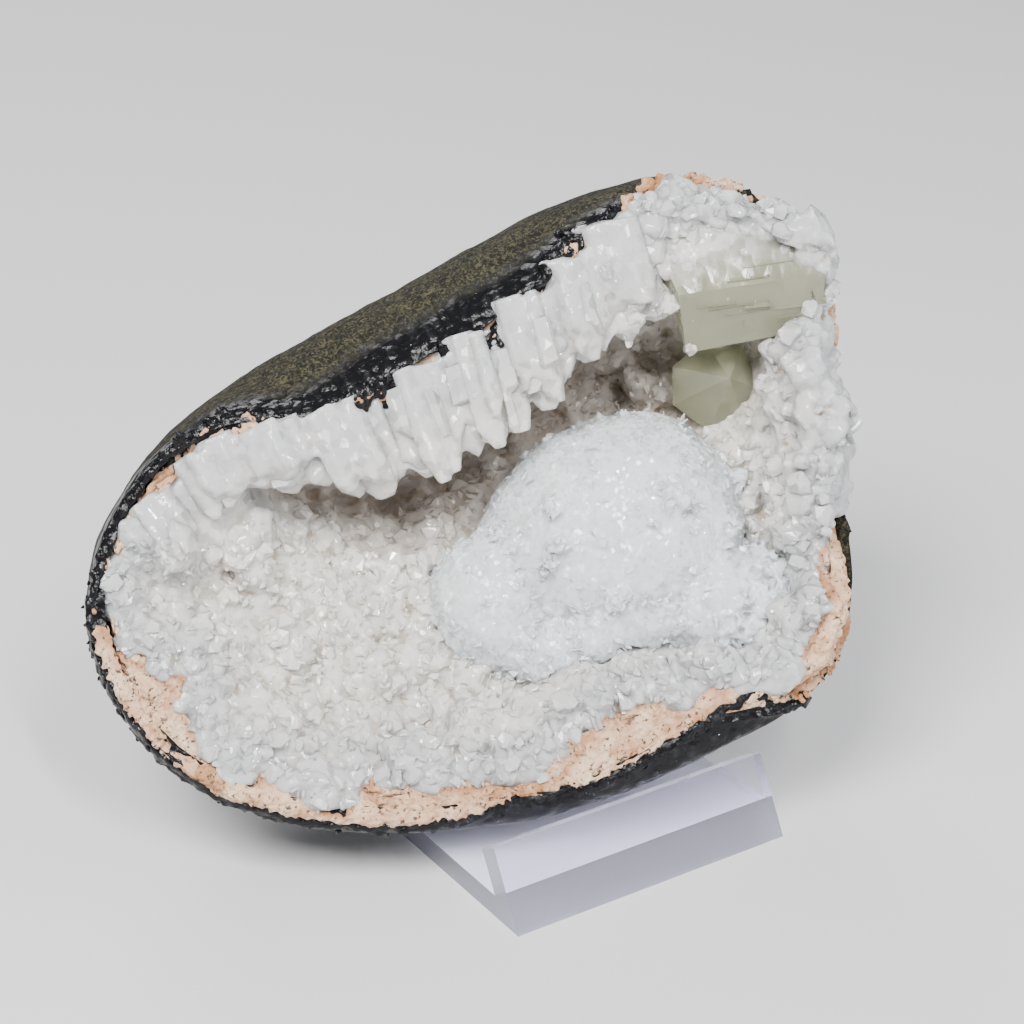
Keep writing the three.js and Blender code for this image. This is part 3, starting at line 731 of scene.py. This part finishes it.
def outline_distance(points, outline):
    """Distance in x and y from each point to a closed outline."""
    best = np.full(len(points), np.inf)
    for a, b in zip(outline, np.roll(outline, -1, axis=0)):
        along = b - a
        t = np.clip(((points[:, :2] - a) @ along) / (along @ along), 0, 1)
        best = np.minimum(best, np.linalg.norm(points[:, :2] - a - t[:, None] * along, axis=1))
    return best


def warmth(points):
    """0 at the cool outer crystals, 0.4 at the cream ones further in, and 1 deep in the recess, where the
    finish paints shade.
    """
    # The deeper below the open face, the more shade the finish paints there
    deep = np.clip((-points[:, 2] - 8) / 11, 0, 1)
    cream = 0.4 * np.clip((outline_distance(points, CRYSTAL_OUTLINE) - 3) / 8, 0, 1)
    return np.maximum(deep, cream)


def note_crystals(mesh):
    """The numbers that the crystals' finishes read: how far in they are, and how deep in a crease."""
    note(mesh, "warm", warmth(to_stone(corners(mesh))))
    note(mesh, "crease", creases(mesh))


crust_mesh, _ = roughened("crystal_crust", 1, [(0.3, 2.2)], 0.1, 25)
print("crust", len(crust_mesh.polygons), "faces")

# %% [markdown]
# The crystals are sown over the crust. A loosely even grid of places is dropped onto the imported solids
# along z, the way that one looks into the hollow: where the ball or a calcite is met first, nothing
# grows. Picking random faces would be simpler, but it leaves bare patches and sows the hidden back as
# well.

# %% Helpers for sowing crystals


def solid_below(*names):
    """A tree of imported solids, in the stone's frame, to drop points on."""
    vertices, triangles = [], []
    for name in names:
        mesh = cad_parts[name].data
        start = len(vertices)
        vertices += to_stone(corners(mesh)).tolist()
        triangles += [[start + v for v in face.vertices] for face in mesh.polygons]
    return BVHTree.FromPolygons(vertices, triangles)


crust_tree = solid_below("crystal_crust", "chalky_layer")
guest_tree = solid_below("goosecreekite_ball", "calcite_block", "calcite_point")


def inside(points, outline):
    """Whether each point is inside a closed outline: an odd number of edges lies on one side of it."""
    x, y = points[:, 0], points[:, 1]
    odd = np.zeros(len(points), bool)
    for (ax, ay), (bx, by) in zip(outline, np.roll(outline, -1, axis=0)):
        crossing = (ay > y) != (by > y)
        at = ax + (y - ay) / (by - ay + 1e-12) * (bx - ax)
        odd ^= crossing & (x < at)
    return odd


def scatter(chance, outline, spacing):
    """Loosely even places in x and y inside an outline."""
    columns, rows = [np.arange(*ends, spacing) for ends in zip(outline.min(0), outline.max(0))]
    grid = np.stack(np.meshgrid(columns, rows), axis=-1).reshape(-1, 2)
    grid = grid + chance.uniform(-0.6, 0.6, grid.shape) * spacing
    return grid[inside(grid, outline)]


# A height over the open face that is clear of every solid
ABOVE_ALL = 30


def dropped(places, ground, guests=None):
    """Those places dropped along -z on the ground, with its slope there. What a guest covers isn't kept."""
    found = []
    for x, y in places:
        start = Vector((x, y, ABOVE_ALL))
        hit, slope, _, _ = ground.ray_cast(start, Vector((0, 0, -1)))
        guest = guests.ray_cast(start, Vector((0, 0, -1)))[0] if guests else None
        if hit is not None and (guest is None or guest.z < hit.z + 0.5):
            found.append((*hit, *slope))
    found = np.array(found).reshape(-1, 6)
    return found[:, :3], found[:, 3:]


def druse(chance, places, slopes, radius, height, spread, sides=5, flat=0.85, worn=0.3, swelling=0.0):
    """A batch of crystals at those places. They stand out by that height, and further on broad swellings."""
    count = len(places)
    aim = unit(slopes + (0, 0, 0.3) + chance.normal(0, spread, (count, 3)))
    radii = chance.uniform(*radius, count)
    stand = chance.uniform(*height, count) + swelling * bumps(places, 6.5, 1.0)
    roots, tips = places - aim * radii[:, None], places + aim * stand[:, None]
    return crystal_corners(chance, roots, tips, radii, sides, flat, 0.62, worn)


# %% [markdown]
# The bed of the hollow is a druse: one skin of crystals that grew together. One size of crystal would be
# simpler, but it looks like gravel, so there are three, large ones first. Under the hanging lobes nothing
# is sown, because they cover it. Along the lower edge some large crystals broke off flat, which shows as
# pale smooth patches.

# %% The crystals of the slope and the hollow
# Each hanging lobe of the upper edge: x and y of its root and of its tip, and how wide it is
HANGING_LOBES = np.array([
    (-36, 15.5, -34, 8.5, 8), (-28, 19, -27, 11, 8.5), (-19.5, 18.5, -19, 10.5, 8.5),
    (-10.5, 17.5, -10, 5.5, 10), (-1, 18, -1.5, 4.5, 9.5), (7.5, 19.5, 6, 5.8, 9.5), (15, 21, 13.5, 8, 8),
    (22, 23.5, 20.5, 11, 8), (28, 25.5, 26.5, 14.5, 7.5),
])
CORNICE = np.concatenate([HANGING_LOBES[:, :2] + (-1, 4), HANGING_LOBES[::-1, 2:4] - (0, 1)])
slope_chance = np.random.default_rng(3)
# Each layer: spacing, radius, height, spread of directions, sides, flatness and wear
SLOPE_LAYERS = [
    (3.1, (2.2, 4.0), (0.3, 1.5), 0.22, 7, 0.8, 0.3),
    (2.6, (1.2, 2.3), (0.5, 1.5), 0.35, 6, 0.7, 0.25),
    (1.5, (0.5, 1.0), (0.4, 1.0), 0.5, 4, 0.3, 0.3),
]
# How far the broad swellings of the bed stand out
SWELLING = 1.3


def sown(layers, ground, swelling=0.0):
    """Batches of crystals over the whole bed, but for what the cornice covers."""
    batches = []
    for spacing, *look in layers:
        places = scatter(slope_chance, CRYSTAL_OUTLINE, spacing)
        places = places[~inside(places, CORNICE)]
        batches.append(druse(slope_chance, *dropped(places, ground, guest_tree), *look, swelling))
    return batches


slope_batches = sown(SLOPE_LAYERS, crust_tree, SWELLING)

# Large crystals that broke off flat: x, y and radius
BROKEN_ENDS = np.array([
    (26.9, -32.8, 2.9), (-30.3, -23.8, 2.4), (-38.3, -17.5, 2.8), (-42.3, 1.5, 2.6), (51, 12.5, 2.4),
    (46.3, -6.6, 2.9), (-37, -13, 2.2),
])
white_tree = solid_below("crystal_crust", "chalky_layer", "calcite_block")
broken_on, _ = dropped(BROKEN_ENDS[:, :2], white_tree)
broken_aim = unit(slope_chance.normal(0, 0.15, (len(broken_on), 3)) + (0, 0, 1))
broken_roots, broken_tips = broken_on - 2.5 * broken_aim, broken_on + 1.3 * broken_aim
broken_rings = crystal_corners(slope_chance, broken_roots, broken_tips, BROKEN_ENDS[:, 2], 7, 0.9, 0.85, 0.88)
slope_batches.append(broken_rings)
slope_parts = joined("crystal_druse", crust_mesh, crystal_mesh("crystals", slope_batches))
slope_mesh = grown_together(slope_parts, BED_GRID)
note_crystals(slope_mesh)
slope_piece = new_piece("crystal_druse", slope_mesh, white_finish, True)
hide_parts("crystal_crust")

# %% [markdown]
# The grown-together skin is soft at every edge. A finer grid would sharpen it, but for many times the
# faces. So crisp crystals with flat faces stand on it, also in three sizes, and catch the light one by
# one. They are dropped onto the finished skin, so none floats above it.

# %% The crisp crystals on the slope


def tree_of(mesh):
    """A tree of a finished skin, in the stone's frame, to drop points on."""
    faces = [tuple(face.vertices) for face in mesh.polygons]
    return BVHTree.FromPolygons(to_stone(corners(mesh)).tolist(), faces)


CRISP_LAYERS = [
    (2.9, (1.1, 2.0), (0.3, 0.9), 0.35, 6, 0.75, 0.25),
    (1.9, (0.5, 1.0), (0.3, 0.9), 0.5, 5, 0.5, 0.2),
    (1.5, (0.3, 0.6), (0.3, 0.9), 0.6, 4, 0.3, 0.3),
]
crisp_batches = sown(CRISP_LAYERS, tree_of(slope_mesh))
# The small white cluster at the lower left corner of the yellow calcite
cluster = np.array([(32.1, 8.6)]) + slope_chance.normal(0, 0.9, (16, 2))
on_block = dropped(cluster, solid_below("calcite_block", "crystal_crust"))
crisp_batches.append(druse(slope_chance, *on_block, (0.5, 1.0), (0.4, 1.0), 0.6, 6, 0.8, 0.3))
crisp_mesh = crystal_mesh("crisp_crystals", crisp_batches)
note_crystals(crisp_mesh)
new_piece("crisp_crystals", crisp_mesh, crisp_finish, False)

# %% [markdown]
# Above the yellow calcite lies a frosty white plateau. The bed's crystals could simply run on over it,
# but its flat calm surface tells it apart from them. So it gets low broad crystals of its own, grown
# together, with a few crisp ones on them.

# %% The frosty plateau above the yellow calcite
PLATEAU = np.array([
    (28.5, 18), (36, 17.8), (42.8, 17), (52, 12.5), (54, 16.5), (50.8, 19.2), (45.9, 23.4), (39.5, 27),
    (33, 28.5), (29.5, 24.5),
])
plateau_chance = np.random.default_rng(5)
plateau_batches = []
for spacing, radius, height in ((2.8, (2.2, 3.6), (0.1, 0.5)), (2.0, (0.9, 1.7), (0.1, 0.5))):
    on_plateau = dropped(scatter(plateau_chance, PLATEAU, spacing), white_tree)
    plateau_batches.append(druse(plateau_chance, *on_plateau, radius, height, 0.35, 6, 0.8, 0.4))
plateau_mesh = grown_together(crystal_mesh("frosty_plateau", plateau_batches), FINE_GRID)
note_crystals(plateau_mesh)
new_piece("frosty_plateau", plateau_mesh, white_finish, True)
on_frost = dropped(scatter(plateau_chance, PLATEAU, 2.6), tree_of(plateau_mesh))
frost_rings = druse(plateau_chance, *on_frost, (0.6, 1.6), (0.1, 0.4), 0.3, 6)
frost_mesh = crystal_mesh("plateau_crystals", [frost_rings])
note_crystals(frost_mesh)
new_piece("plateau_crystals", frost_mesh, crisp_finish, False)

# %% [markdown]
# From the upper edge hang lobes of crystals side by side, like a thick curtain. One long row of crystals
# would be even all along, so each lobe is a fan of its own: longest and furthest forward in its middle,
# ragged at its end, with a groove of shadow between it and the next. Broad plates are grown together, and
# crisp ones lie on them.

# %% The hanging lobes of the upper edge


def lobe(chance, line, count, front, radius, flat=0.55, back=3.2, part=1.0):
    """A fan of crystals side by side: longest in its middle, rounded towards the viewer, ragged at its end.

    front is how far forward its middle lies, back is how ragged its end is, and part is the share of the way
    from root to tip that each crystal covers.
    """
    root_x, root_y, tip_x, tip_y, width = line
    root, tip = np.array([root_x, root_y]), np.array([tip_x, tip_y])
    along = unit(tip - root)
    side = np.array([-along[1], along[0]])
    u = chance.uniform(-1, 1, count)
    v = chance.uniform(0, 1, count) ** 0.5
    held = 2.4 * u ** 2 + chance.uniform(0, back, count)
    crown = np.sqrt(np.clip(1 - u ** 2, 0, 1))
    starts = root + side * (u * width * 0.45)[:, None] - along * chance.uniform(0.6, 1.6, (count, 1))
    ends = tip + side * (u * width * 0.34)[:, None] - along * held[:, None]
    start_z = -5 + v * (front + 4.0) * (0.4 + 0.6 * crown)
    end_z = -9 + v * (front + 8.0) * (0.35 + 0.65 * crown)
    tips = np.column_stack([ends, end_z])
    roots = tips + (np.column_stack([starts, start_z]) - tips) * part
    lift = (tips - roots) * chance.uniform(0, 1 / part - 1, (count, 1))
    sway = chance.normal(0, 0.5 * (1 - part), (count, 3))
    radii = chance.uniform(*radius, count)
    return crystal_corners(chance, roots - lift, tips - lift + sway, radii, 7, flat, 0.78, 0.4)


lobe_chance = np.random.default_rng(8)
lobe_batches = []
for line in HANGING_LOBES:
    front = lobe_chance.uniform(0.2, 1.8)
    lobe_batches.append(lobe(lobe_chance, line, 11, front, (2.0, 3.2), 0.75))
    lobe_batches.append(lobe(lobe_chance, line, 6, front + 0.4, (1.1, 1.9), 0.7, 4.5))
hanging_mesh = grown_together(crystal_mesh("hanging_crystals", lobe_batches), LOBE_GRID)
note_crystals(hanging_mesh)
new_piece("hanging_crystals", hanging_mesh, white_finish, True)
plate_batches = []
for line in HANGING_LOBES:
    plate_batches.append(lobe(lobe_chance, line, 6, 1.0, (1.6, 2.6), 0.75, 3.0, 0.5))
    plate_batches.append(lobe(lobe_chance, line, 5, 1.5, (0.6, 1.2), 0.6, 4.5, 0.35))
plate_mesh = crystal_mesh("hanging_plates", plate_batches)
note_crystals(plate_mesh)
new_piece("hanging_plates", plate_mesh, crisp_finish, False)

# %% [markdown]
# Shorter blades stand up along the lower edge, in front of the ball. They could be modelled one by one,
# but they are the same fans, upside down, so the same function makes them from a second list.

# %% The blades along the lower edge
STANDING_FANS = [
    (-20, -26, -18.5, -20.5, 7), (-14, -28, -13, -21.5, 7), (-8, -29, -7, -23, 7),
    (-2, -30.5, -1.5, -23.5, 7), (4, -28.5, 4, -23, 7), (10, -28.5, 10, -23.5, 7),
    (16, -29, 15.5, -24.5, 7), (22, -30.5, 21, -26.5, 7), (28, -32, 27, -28, 6),
]
fan_batches = []
for line in STANDING_FANS:
    fan_batches.append(lobe(lobe_chance, line, 12, 0.2, (1.0, 1.8), 0.6))
    fan_batches.append(lobe(lobe_chance, line, 12, 0.6, (0.4, 0.9), 0.4))
standing_mesh = grown_together(crystal_mesh("standing_blades", fan_batches), LOBE_GRID)
note_crystals(standing_mesh)
new_piece("standing_blades", standing_mesh, white_finish, True)
fan_plates = [lobe(lobe_chance, line, 16, 0.8, (0.4, 1.2), 0.35) for line in STANDING_FANS]
fan_plate_mesh = crystal_mesh("standing_plates", fan_plates)
note_crystals(fan_plate_mesh)
new_piece("standing_plates", fan_plate_mesh, crisp_finish, False)

# %% [markdown]
# At the right the shell broke off, so the white crystals end in a ragged ledge in the open. Crystals that
# are sown from above would leave that edge flat, so stout ones are placed along that stretch of the
# outline and lean out over it. None may cover the face of the yellow calcite.

# %% The ragged right edge
RIGHT_EDGE = CRYSTAL_OUTLINE[27:48]
RIGHT_EDGE_BELOW = RIGHT_EDGE[:11]
LEDGE_BELOW = np.array([(43.5, -18.5), (46, -15), (48, -11), (49.5, -7), (50, -2), (51, 4), (53, 9)])
# The face of the yellow calcite, which no crystal of the edge covers
BLOCK_FACE = np.array([(31, 17), (31, 5), (40, 3.4), (49.5, 3.6), (53, 7), (53, 12.5), (43, 16.8)])


def along_outline(chance, outline_part, count):
    """Random places along an open outline, and the way out of it at each."""
    a, b = outline_part[:-1], outline_part[1:]
    spans = np.linalg.norm(b - a, axis=1)
    pick = chance.choice(len(spans), count, p=spans / spans.sum())
    t = chance.uniform(0, 1, (count, 1))
    along = (b - a)[pick]
    away = unit(np.column_stack([along[:, 1], -along[:, 0]]))
    return a[pick] * (1 - t) + b[pick] * t, away


def edge_crystals(chance, outline_part, count, radius, length, deep):
    """Stout crystals that lean outward past the broken shell, with their ends near the outline."""
    ends, away = along_outline(chance, outline_part, count)
    ends = ends - away * chance.uniform(0.2, 4.0, (count, 1))
    clear = ~inside(ends, BLOCK_FACE)
    ends, away, count = ends[clear], away[clear], int(clear.sum())
    starts = ends - away * chance.uniform(*length, (count, 1))
    z = chance.uniform(*deep, count)
    tips = np.column_stack([ends, z])
    roots = np.column_stack([starts, z - chance.uniform(0, 2.5, count)])
    return crystal_corners(chance, roots, tips, chance.uniform(*radius, count), 6, 0.9, 0.6, 0.45)


edge_chance = np.random.default_rng(12)
edge_batches = [
    edge_crystals(edge_chance, RIGHT_EDGE, 60, (2.2, 3.6), (2, 3.5), (-6, -1.5)),
    edge_crystals(edge_chance, RIGHT_EDGE, 120, (1.2, 2.1), (1, 2.2), (-5.5, 0)),
    edge_crystals(edge_chance, RIGHT_EDGE_BELOW, 60, (0.5, 0.9), (0.8, 1.6), (-5.5, 0.5)),
    edge_crystals(edge_chance, LEDGE_BELOW, 60, (1.5, 2.6), (2, 3), (-11, -6)),
]
edge_mesh = grown_together(crystal_mesh("edge_crystals", edge_batches), LOBE_GRID)
note_crystals(edge_mesh)
new_piece("edge_crystals", edge_mesh, white_finish, True)
edge_crisp_mesh = crystal_mesh("edge_plates", [
    edge_crystals(edge_chance, RIGHT_EDGE, 40, (0.9, 1.8), (1, 2.2), (-5, 0)),
    edge_crystals(edge_chance, RIGHT_EDGE_BELOW, 40, (0.4, 0.8), (0.8, 1.6), (-5.5, 0.5)),
])
note_crystals(edge_crisp_mesh)
new_piece("edge_plates", edge_crisp_mesh, crisp_finish, False)

# %% [markdown]
# The goosecreekite is a ball of countless blades, grown so tightly that it looks like packed snow. It is
# smooth in front and frayed at its rim, and at its lower right the blades stand free. Modelling every
# blade would hide the soft glow, so the ball is one skin with low blades grown in, and thin crisp blades
# stand edge-on for the sparkle.

# %% The goosecreekite ball
ball_mesh, _ = roughened("goosecreekite_ball", 2, [(0.3, 3.6)], 0.15, 80)
ball_normals = unit(outward(ball_mesh) @ TILT)
ball_surface = to_stone(corners(ball_mesh))
blade_chance = np.random.default_rng(21)
seen = np.flatnonzero(ball_normals[:, 2] > -0.3)
# Along x - y, towards the lower right: where blades begin to stand out more, over what span, and the tail
LOWER_RIGHT_START, LOWER_RIGHT_SPAN, TAIL_START = 42, 14, 48
tail = seen[ball_surface[seen][:, 0] - ball_surface[seen][:, 1] > TAIL_START]


def ball_blades(count, out, radius, flat, spread, ground=seen):
    """Thin blades that stand edge-on out of the ball, furthest near its rim and its lower right end."""
    pick = blade_chance.choice(ground, count)
    feet = ball_surface[pick] + blade_chance.normal(0, 0.25, (count, 3))
    aim = unit(ball_normals[pick] + blade_chance.normal(0, spread, (count, 3)))
    rim = np.clip(1 - ball_normals[pick][:, 2], 0, 1)
    lower_right = np.clip((feet[:, 0] - feet[:, 1] - LOWER_RIGHT_START) / LOWER_RIGHT_SPAN, 0, 1)
    stand = blade_chance.uniform(*out, count) * (1 + 2.0 * rim + 2.6 * lower_right)
    radii = blade_chance.uniform(*radius, count)
    tips = feet + aim * stand[:, None]
    return crystal_corners(blade_chance, feet - aim * 0.8, tips, radii, 4, flat, 0.85, 0.7)


blade_batches = [
    ball_blades(1100, (-0.05, 0.07), (0.6, 1.2), 0.3, 0.3),
    ball_blades(240, (0.3, 0.6), (0.5, 1.0), 0.25, 0.5, tail),
]
blades = crystal_mesh("blades", blade_batches)
snowy_mesh = grown_together(joined("snowy_ball", ball_mesh, blades), FINE_GRID)
note_crystals(snowy_mesh)
snowy_piece = new_piece("snowy_ball", snowy_mesh, ball_finish, True)
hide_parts("goosecreekite_ball")
thin_mesh = crystal_mesh("ball_blades", [
    ball_blades(1500, (0.03, 0.12), (0.35, 0.9), 0.12, 0.5),
    ball_blades(120, (0.3, 0.7), (0.4, 0.9), 0.15, 0.6, tail),
])
note_crystals(thin_mesh)
new_piece("ball_blades", thin_mesh, blade_finish, False)

# %% [markdown]
# The broken rim of the tan layer crumbles like sugar. A bump in the finish can't break its outline, so
# three sizes of blunt grains are sown between the crystals' outline and the skin's, and grown together in
# one skin. Coarse grains keep clear of the edge, so that the black line of the skin stays in sight.

# %% The sugar grains of the tan layer
SKIN_OUTLINE = np.array([
    (-32.6, 20.3), (-28.9, 21.6), (-26, 22.4), (-20.6, 22.2), (-14.6, 17.6), (-8.7, 19), (-0.8, 18.5),
    (4.9, 18.4), (14, 21.1), (19.2, 23.1), (20.8, 26), (27.2, 26.4), (31.2, 27.2), (32, 29.1), (36, 28.4),
    (39.4, 27.5), (46, 23.6), (44, 10), (40, -5), (40.4, -19.1), (41.7, -23.6), (40.6, -28.5), (38.5, -32.2),
    (34.3, -35.8), (28.2, -37.5), (24, -36), (23.8, -33.3), (20, -33.7), (13.5, -34.9), (6.5, -35.8),
    (1, -36.1), (-4.7, -35.6), (-8.6, -34), (-15.2, -34), (-23.4, -31.8), (-29.9, -28.5), (-35.1, -25.4),
    (-42.3, -19.5), (-46.1, -13.2), (-48.1, -7.2), (-48.9, -2.3), (-48.8, 2.8), (-47.4, 7.4), (-42.5, 13.5),
    (-38, 17.5),
])
rim_tree = solid_below("crystal_crust", "chalky_layer", "nodule_rind")
# The rim ends this far below the open face
DEEPEST_GRAIN = -14


def crumbs(chance, places, radius, sink, flat=0.9):
    """Blunt grains that sit on the rim at those places in x and y, sunk by a part of their radius."""
    feet = dropped(places, rim_tree)[0]
    feet = feet[feet[:, 2] > DEEPEST_GRAIN]
    count = len(feet)
    aim = unit(chance.normal(0, 0.7, (count, 3)) + (0, 0, 0.6))
    radii = chance.uniform(*radius, count)
    middle = feet - np.array([0, 0, 1]) * (radii * sink)[:, None]
    half = aim * (radii * 0.85)[:, None]
    return crystal_corners(chance, middle - half, middle + half, radii, 5, flat, 0.6, 0.55)


grain_chance = np.random.default_rng(30)
grain_batches = []
# Each size of grain: spacing, radius and how far it is sunk
GRAIN_LAYERS = [(1.9, (0.9, 1.5), 0.8), (0.9, (0.5, 0.9), 0.7), (0.48, (0.28, 0.46), 0.45)]
for spacing, radius, sink in GRAIN_LAYERS:
    grid = scatter(grain_chance, SKIN_OUTLINE, spacing)
    grid = grid[~inside(grid, CRYSTAL_OUTLINE)]
    grid = grid[outline_distance(grid, SKIN_OUTLINE) > 0.2 + 0.8 * radius[1]]
    grain_batches.append(crumbs(grain_chance, grid, radius, sink))
# Tan crumbs also cover the skin where it shows past the white crystals: behind the top and at the right
BARE_STRETCHES = [
    CRYSTAL_OUTLINE[36:43],
    np.array([(43.5, -19.5), (46, -15), (48, -10)]),
    np.array([(49.5, 2), (50, 7)]),
]
CRUMBS_EACH = 90
for line in BARE_STRETCHES:
    places, away = along_outline(grain_chance, line, CRUMBS_EACH)
    places = places + away * grain_chance.uniform(0, 1.6, (CRUMBS_EACH, 1))
    grain_batches.append(crumbs(grain_chance, places, (0.4, 0.9), 0.5))
tan_grain_mesh = grown_together(crystal_mesh("tan_grains", grain_batches), SUGAR_GRID)
grain_points = to_stone(corners(tan_grain_mesh))
rust_reach = outline_distance(grain_points, CRYSTAL_OUTLINE) / 0.9
note(tan_grain_mesh, "rust", 0.8 * np.clip(1 - rust_reach, 0, 1))
note(tan_grain_mesh, "tone", 0.5 + 0.5 * bumps(grain_points, 0.7, 3.0))
new_piece("tan_grains", tan_grain_mesh, tan_finish, False)

# %% [markdown]
# The skin's broken edge is a row of black glassy chips. A bump in the finish would stay inside the skin's
# smooth outline. So the same crumbs are scattered across the edge in black: widely along the top, where
# the skin curls in, and in a narrow line along the bottom.

# %% The black chips of the skin's broken edge
UPPER_SKIN_EDGE = SKIN_OUTLINE[:13]
LOWER_SKIN_EDGE = np.concatenate([SKIN_OUTLINE[24:], SKIN_OUTLINE[:1]])
chip_chance = np.random.default_rng(34)
chip_batches = []
# Each stretch: its outline, how many chips, how far inside the edge, their scatter and their radius
for part, count, middle, spread, size in (
    (UPPER_SKIN_EDGE, 900, 1.0, 0.8, (0.3, 0.8)),
    (LOWER_SKIN_EDGE, 1500, 0.15, 0.35, (0.25, 0.5)),
):
    places, away = along_outline(chip_chance, part, count)
    places = places + away * chip_chance.normal(middle, spread, (count, 1))
    chip_batches.append(crumbs(chip_chance, places, size, 0.7))
chip_mesh = grown_together(crystal_mesh("skin_chips", chip_batches), FINE_GRID)
note(chip_mesh, "broken", np.ones(len(chip_mesh.vertices)))
new_piece("skin_chips", chip_mesh, skin_finish, False)

# %% [markdown]
# The calcites and the stand could be modelled again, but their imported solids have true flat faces
# already, so they keep that form. The calcites get a copy that notes where frost lies, and thin ledges
# where the large one split along its grain. The stand gets its finish and narrow polished edges.

# %% The calcites and the stand
# Frost lies from this y upwards, and is full over the next five millimetres
FROST_START = 15
for calcite_name, piece_name in (("calcite_block", "yellow_calcite"), ("calcite_point", "small_calcite")):
    calcite_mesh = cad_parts[calcite_name].data.copy()
    calcite_points = to_stone(corners(calcite_mesh))
    note(calcite_mesh, "frost", np.clip((calcite_points[:, 1] - FROST_START) / 5, 0, 1))
    calcite_piece = new_piece(piece_name, calcite_mesh, calcite_finish, False)
    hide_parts(calcite_name)
    print(piece_name, len(calcite_mesh.polygons), "faces")

ledge_chance = np.random.default_rng(50)
LEDGES = 15
ledge_start = np.column_stack([ledge_chance.uniform(33.5, 44, LEDGES), ledge_chance.uniform(7.5, 15, LEDGES)])
ledge_ground, _ = dropped(ledge_start, solid_below("calcite_block"))
ledge_length = ledge_chance.uniform(3, 7, (len(ledge_ground), 1))
# The way that the calcite's upper ridge runs
RIDGE = np.array([0.965, -0.24, -0.07])
ledge_roots = ledge_ground - (0, 0, 0.55)
ledge_tips = ledge_roots + RIDGE * ledge_length
ledge_radii = ledge_chance.uniform(0.7, 1.3, len(ledge_ground))
ledge_rings = crystal_corners(ledge_chance, ledge_roots, ledge_tips, ledge_radii, 4, 0.5, 0.95, 0.85)
ledge_mesh = crystal_mesh("calcite_ledges", [ledge_rings])
note(ledge_mesh, "frost", np.zeros(len(ledge_mesh.vertices)))
new_piece("calcite_ledges", ledge_mesh, calcite_finish, False)

stand_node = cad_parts["stand"]
stand_node.data.materials.clear()
stand_node.data.materials.append(acrylic_finish)
soften = stand_node.modifiers.new("polished_edges", "BEVEL")
soften.width = 0.4 * MM
soften.segments = 3
soften.limit_method = "ANGLE"
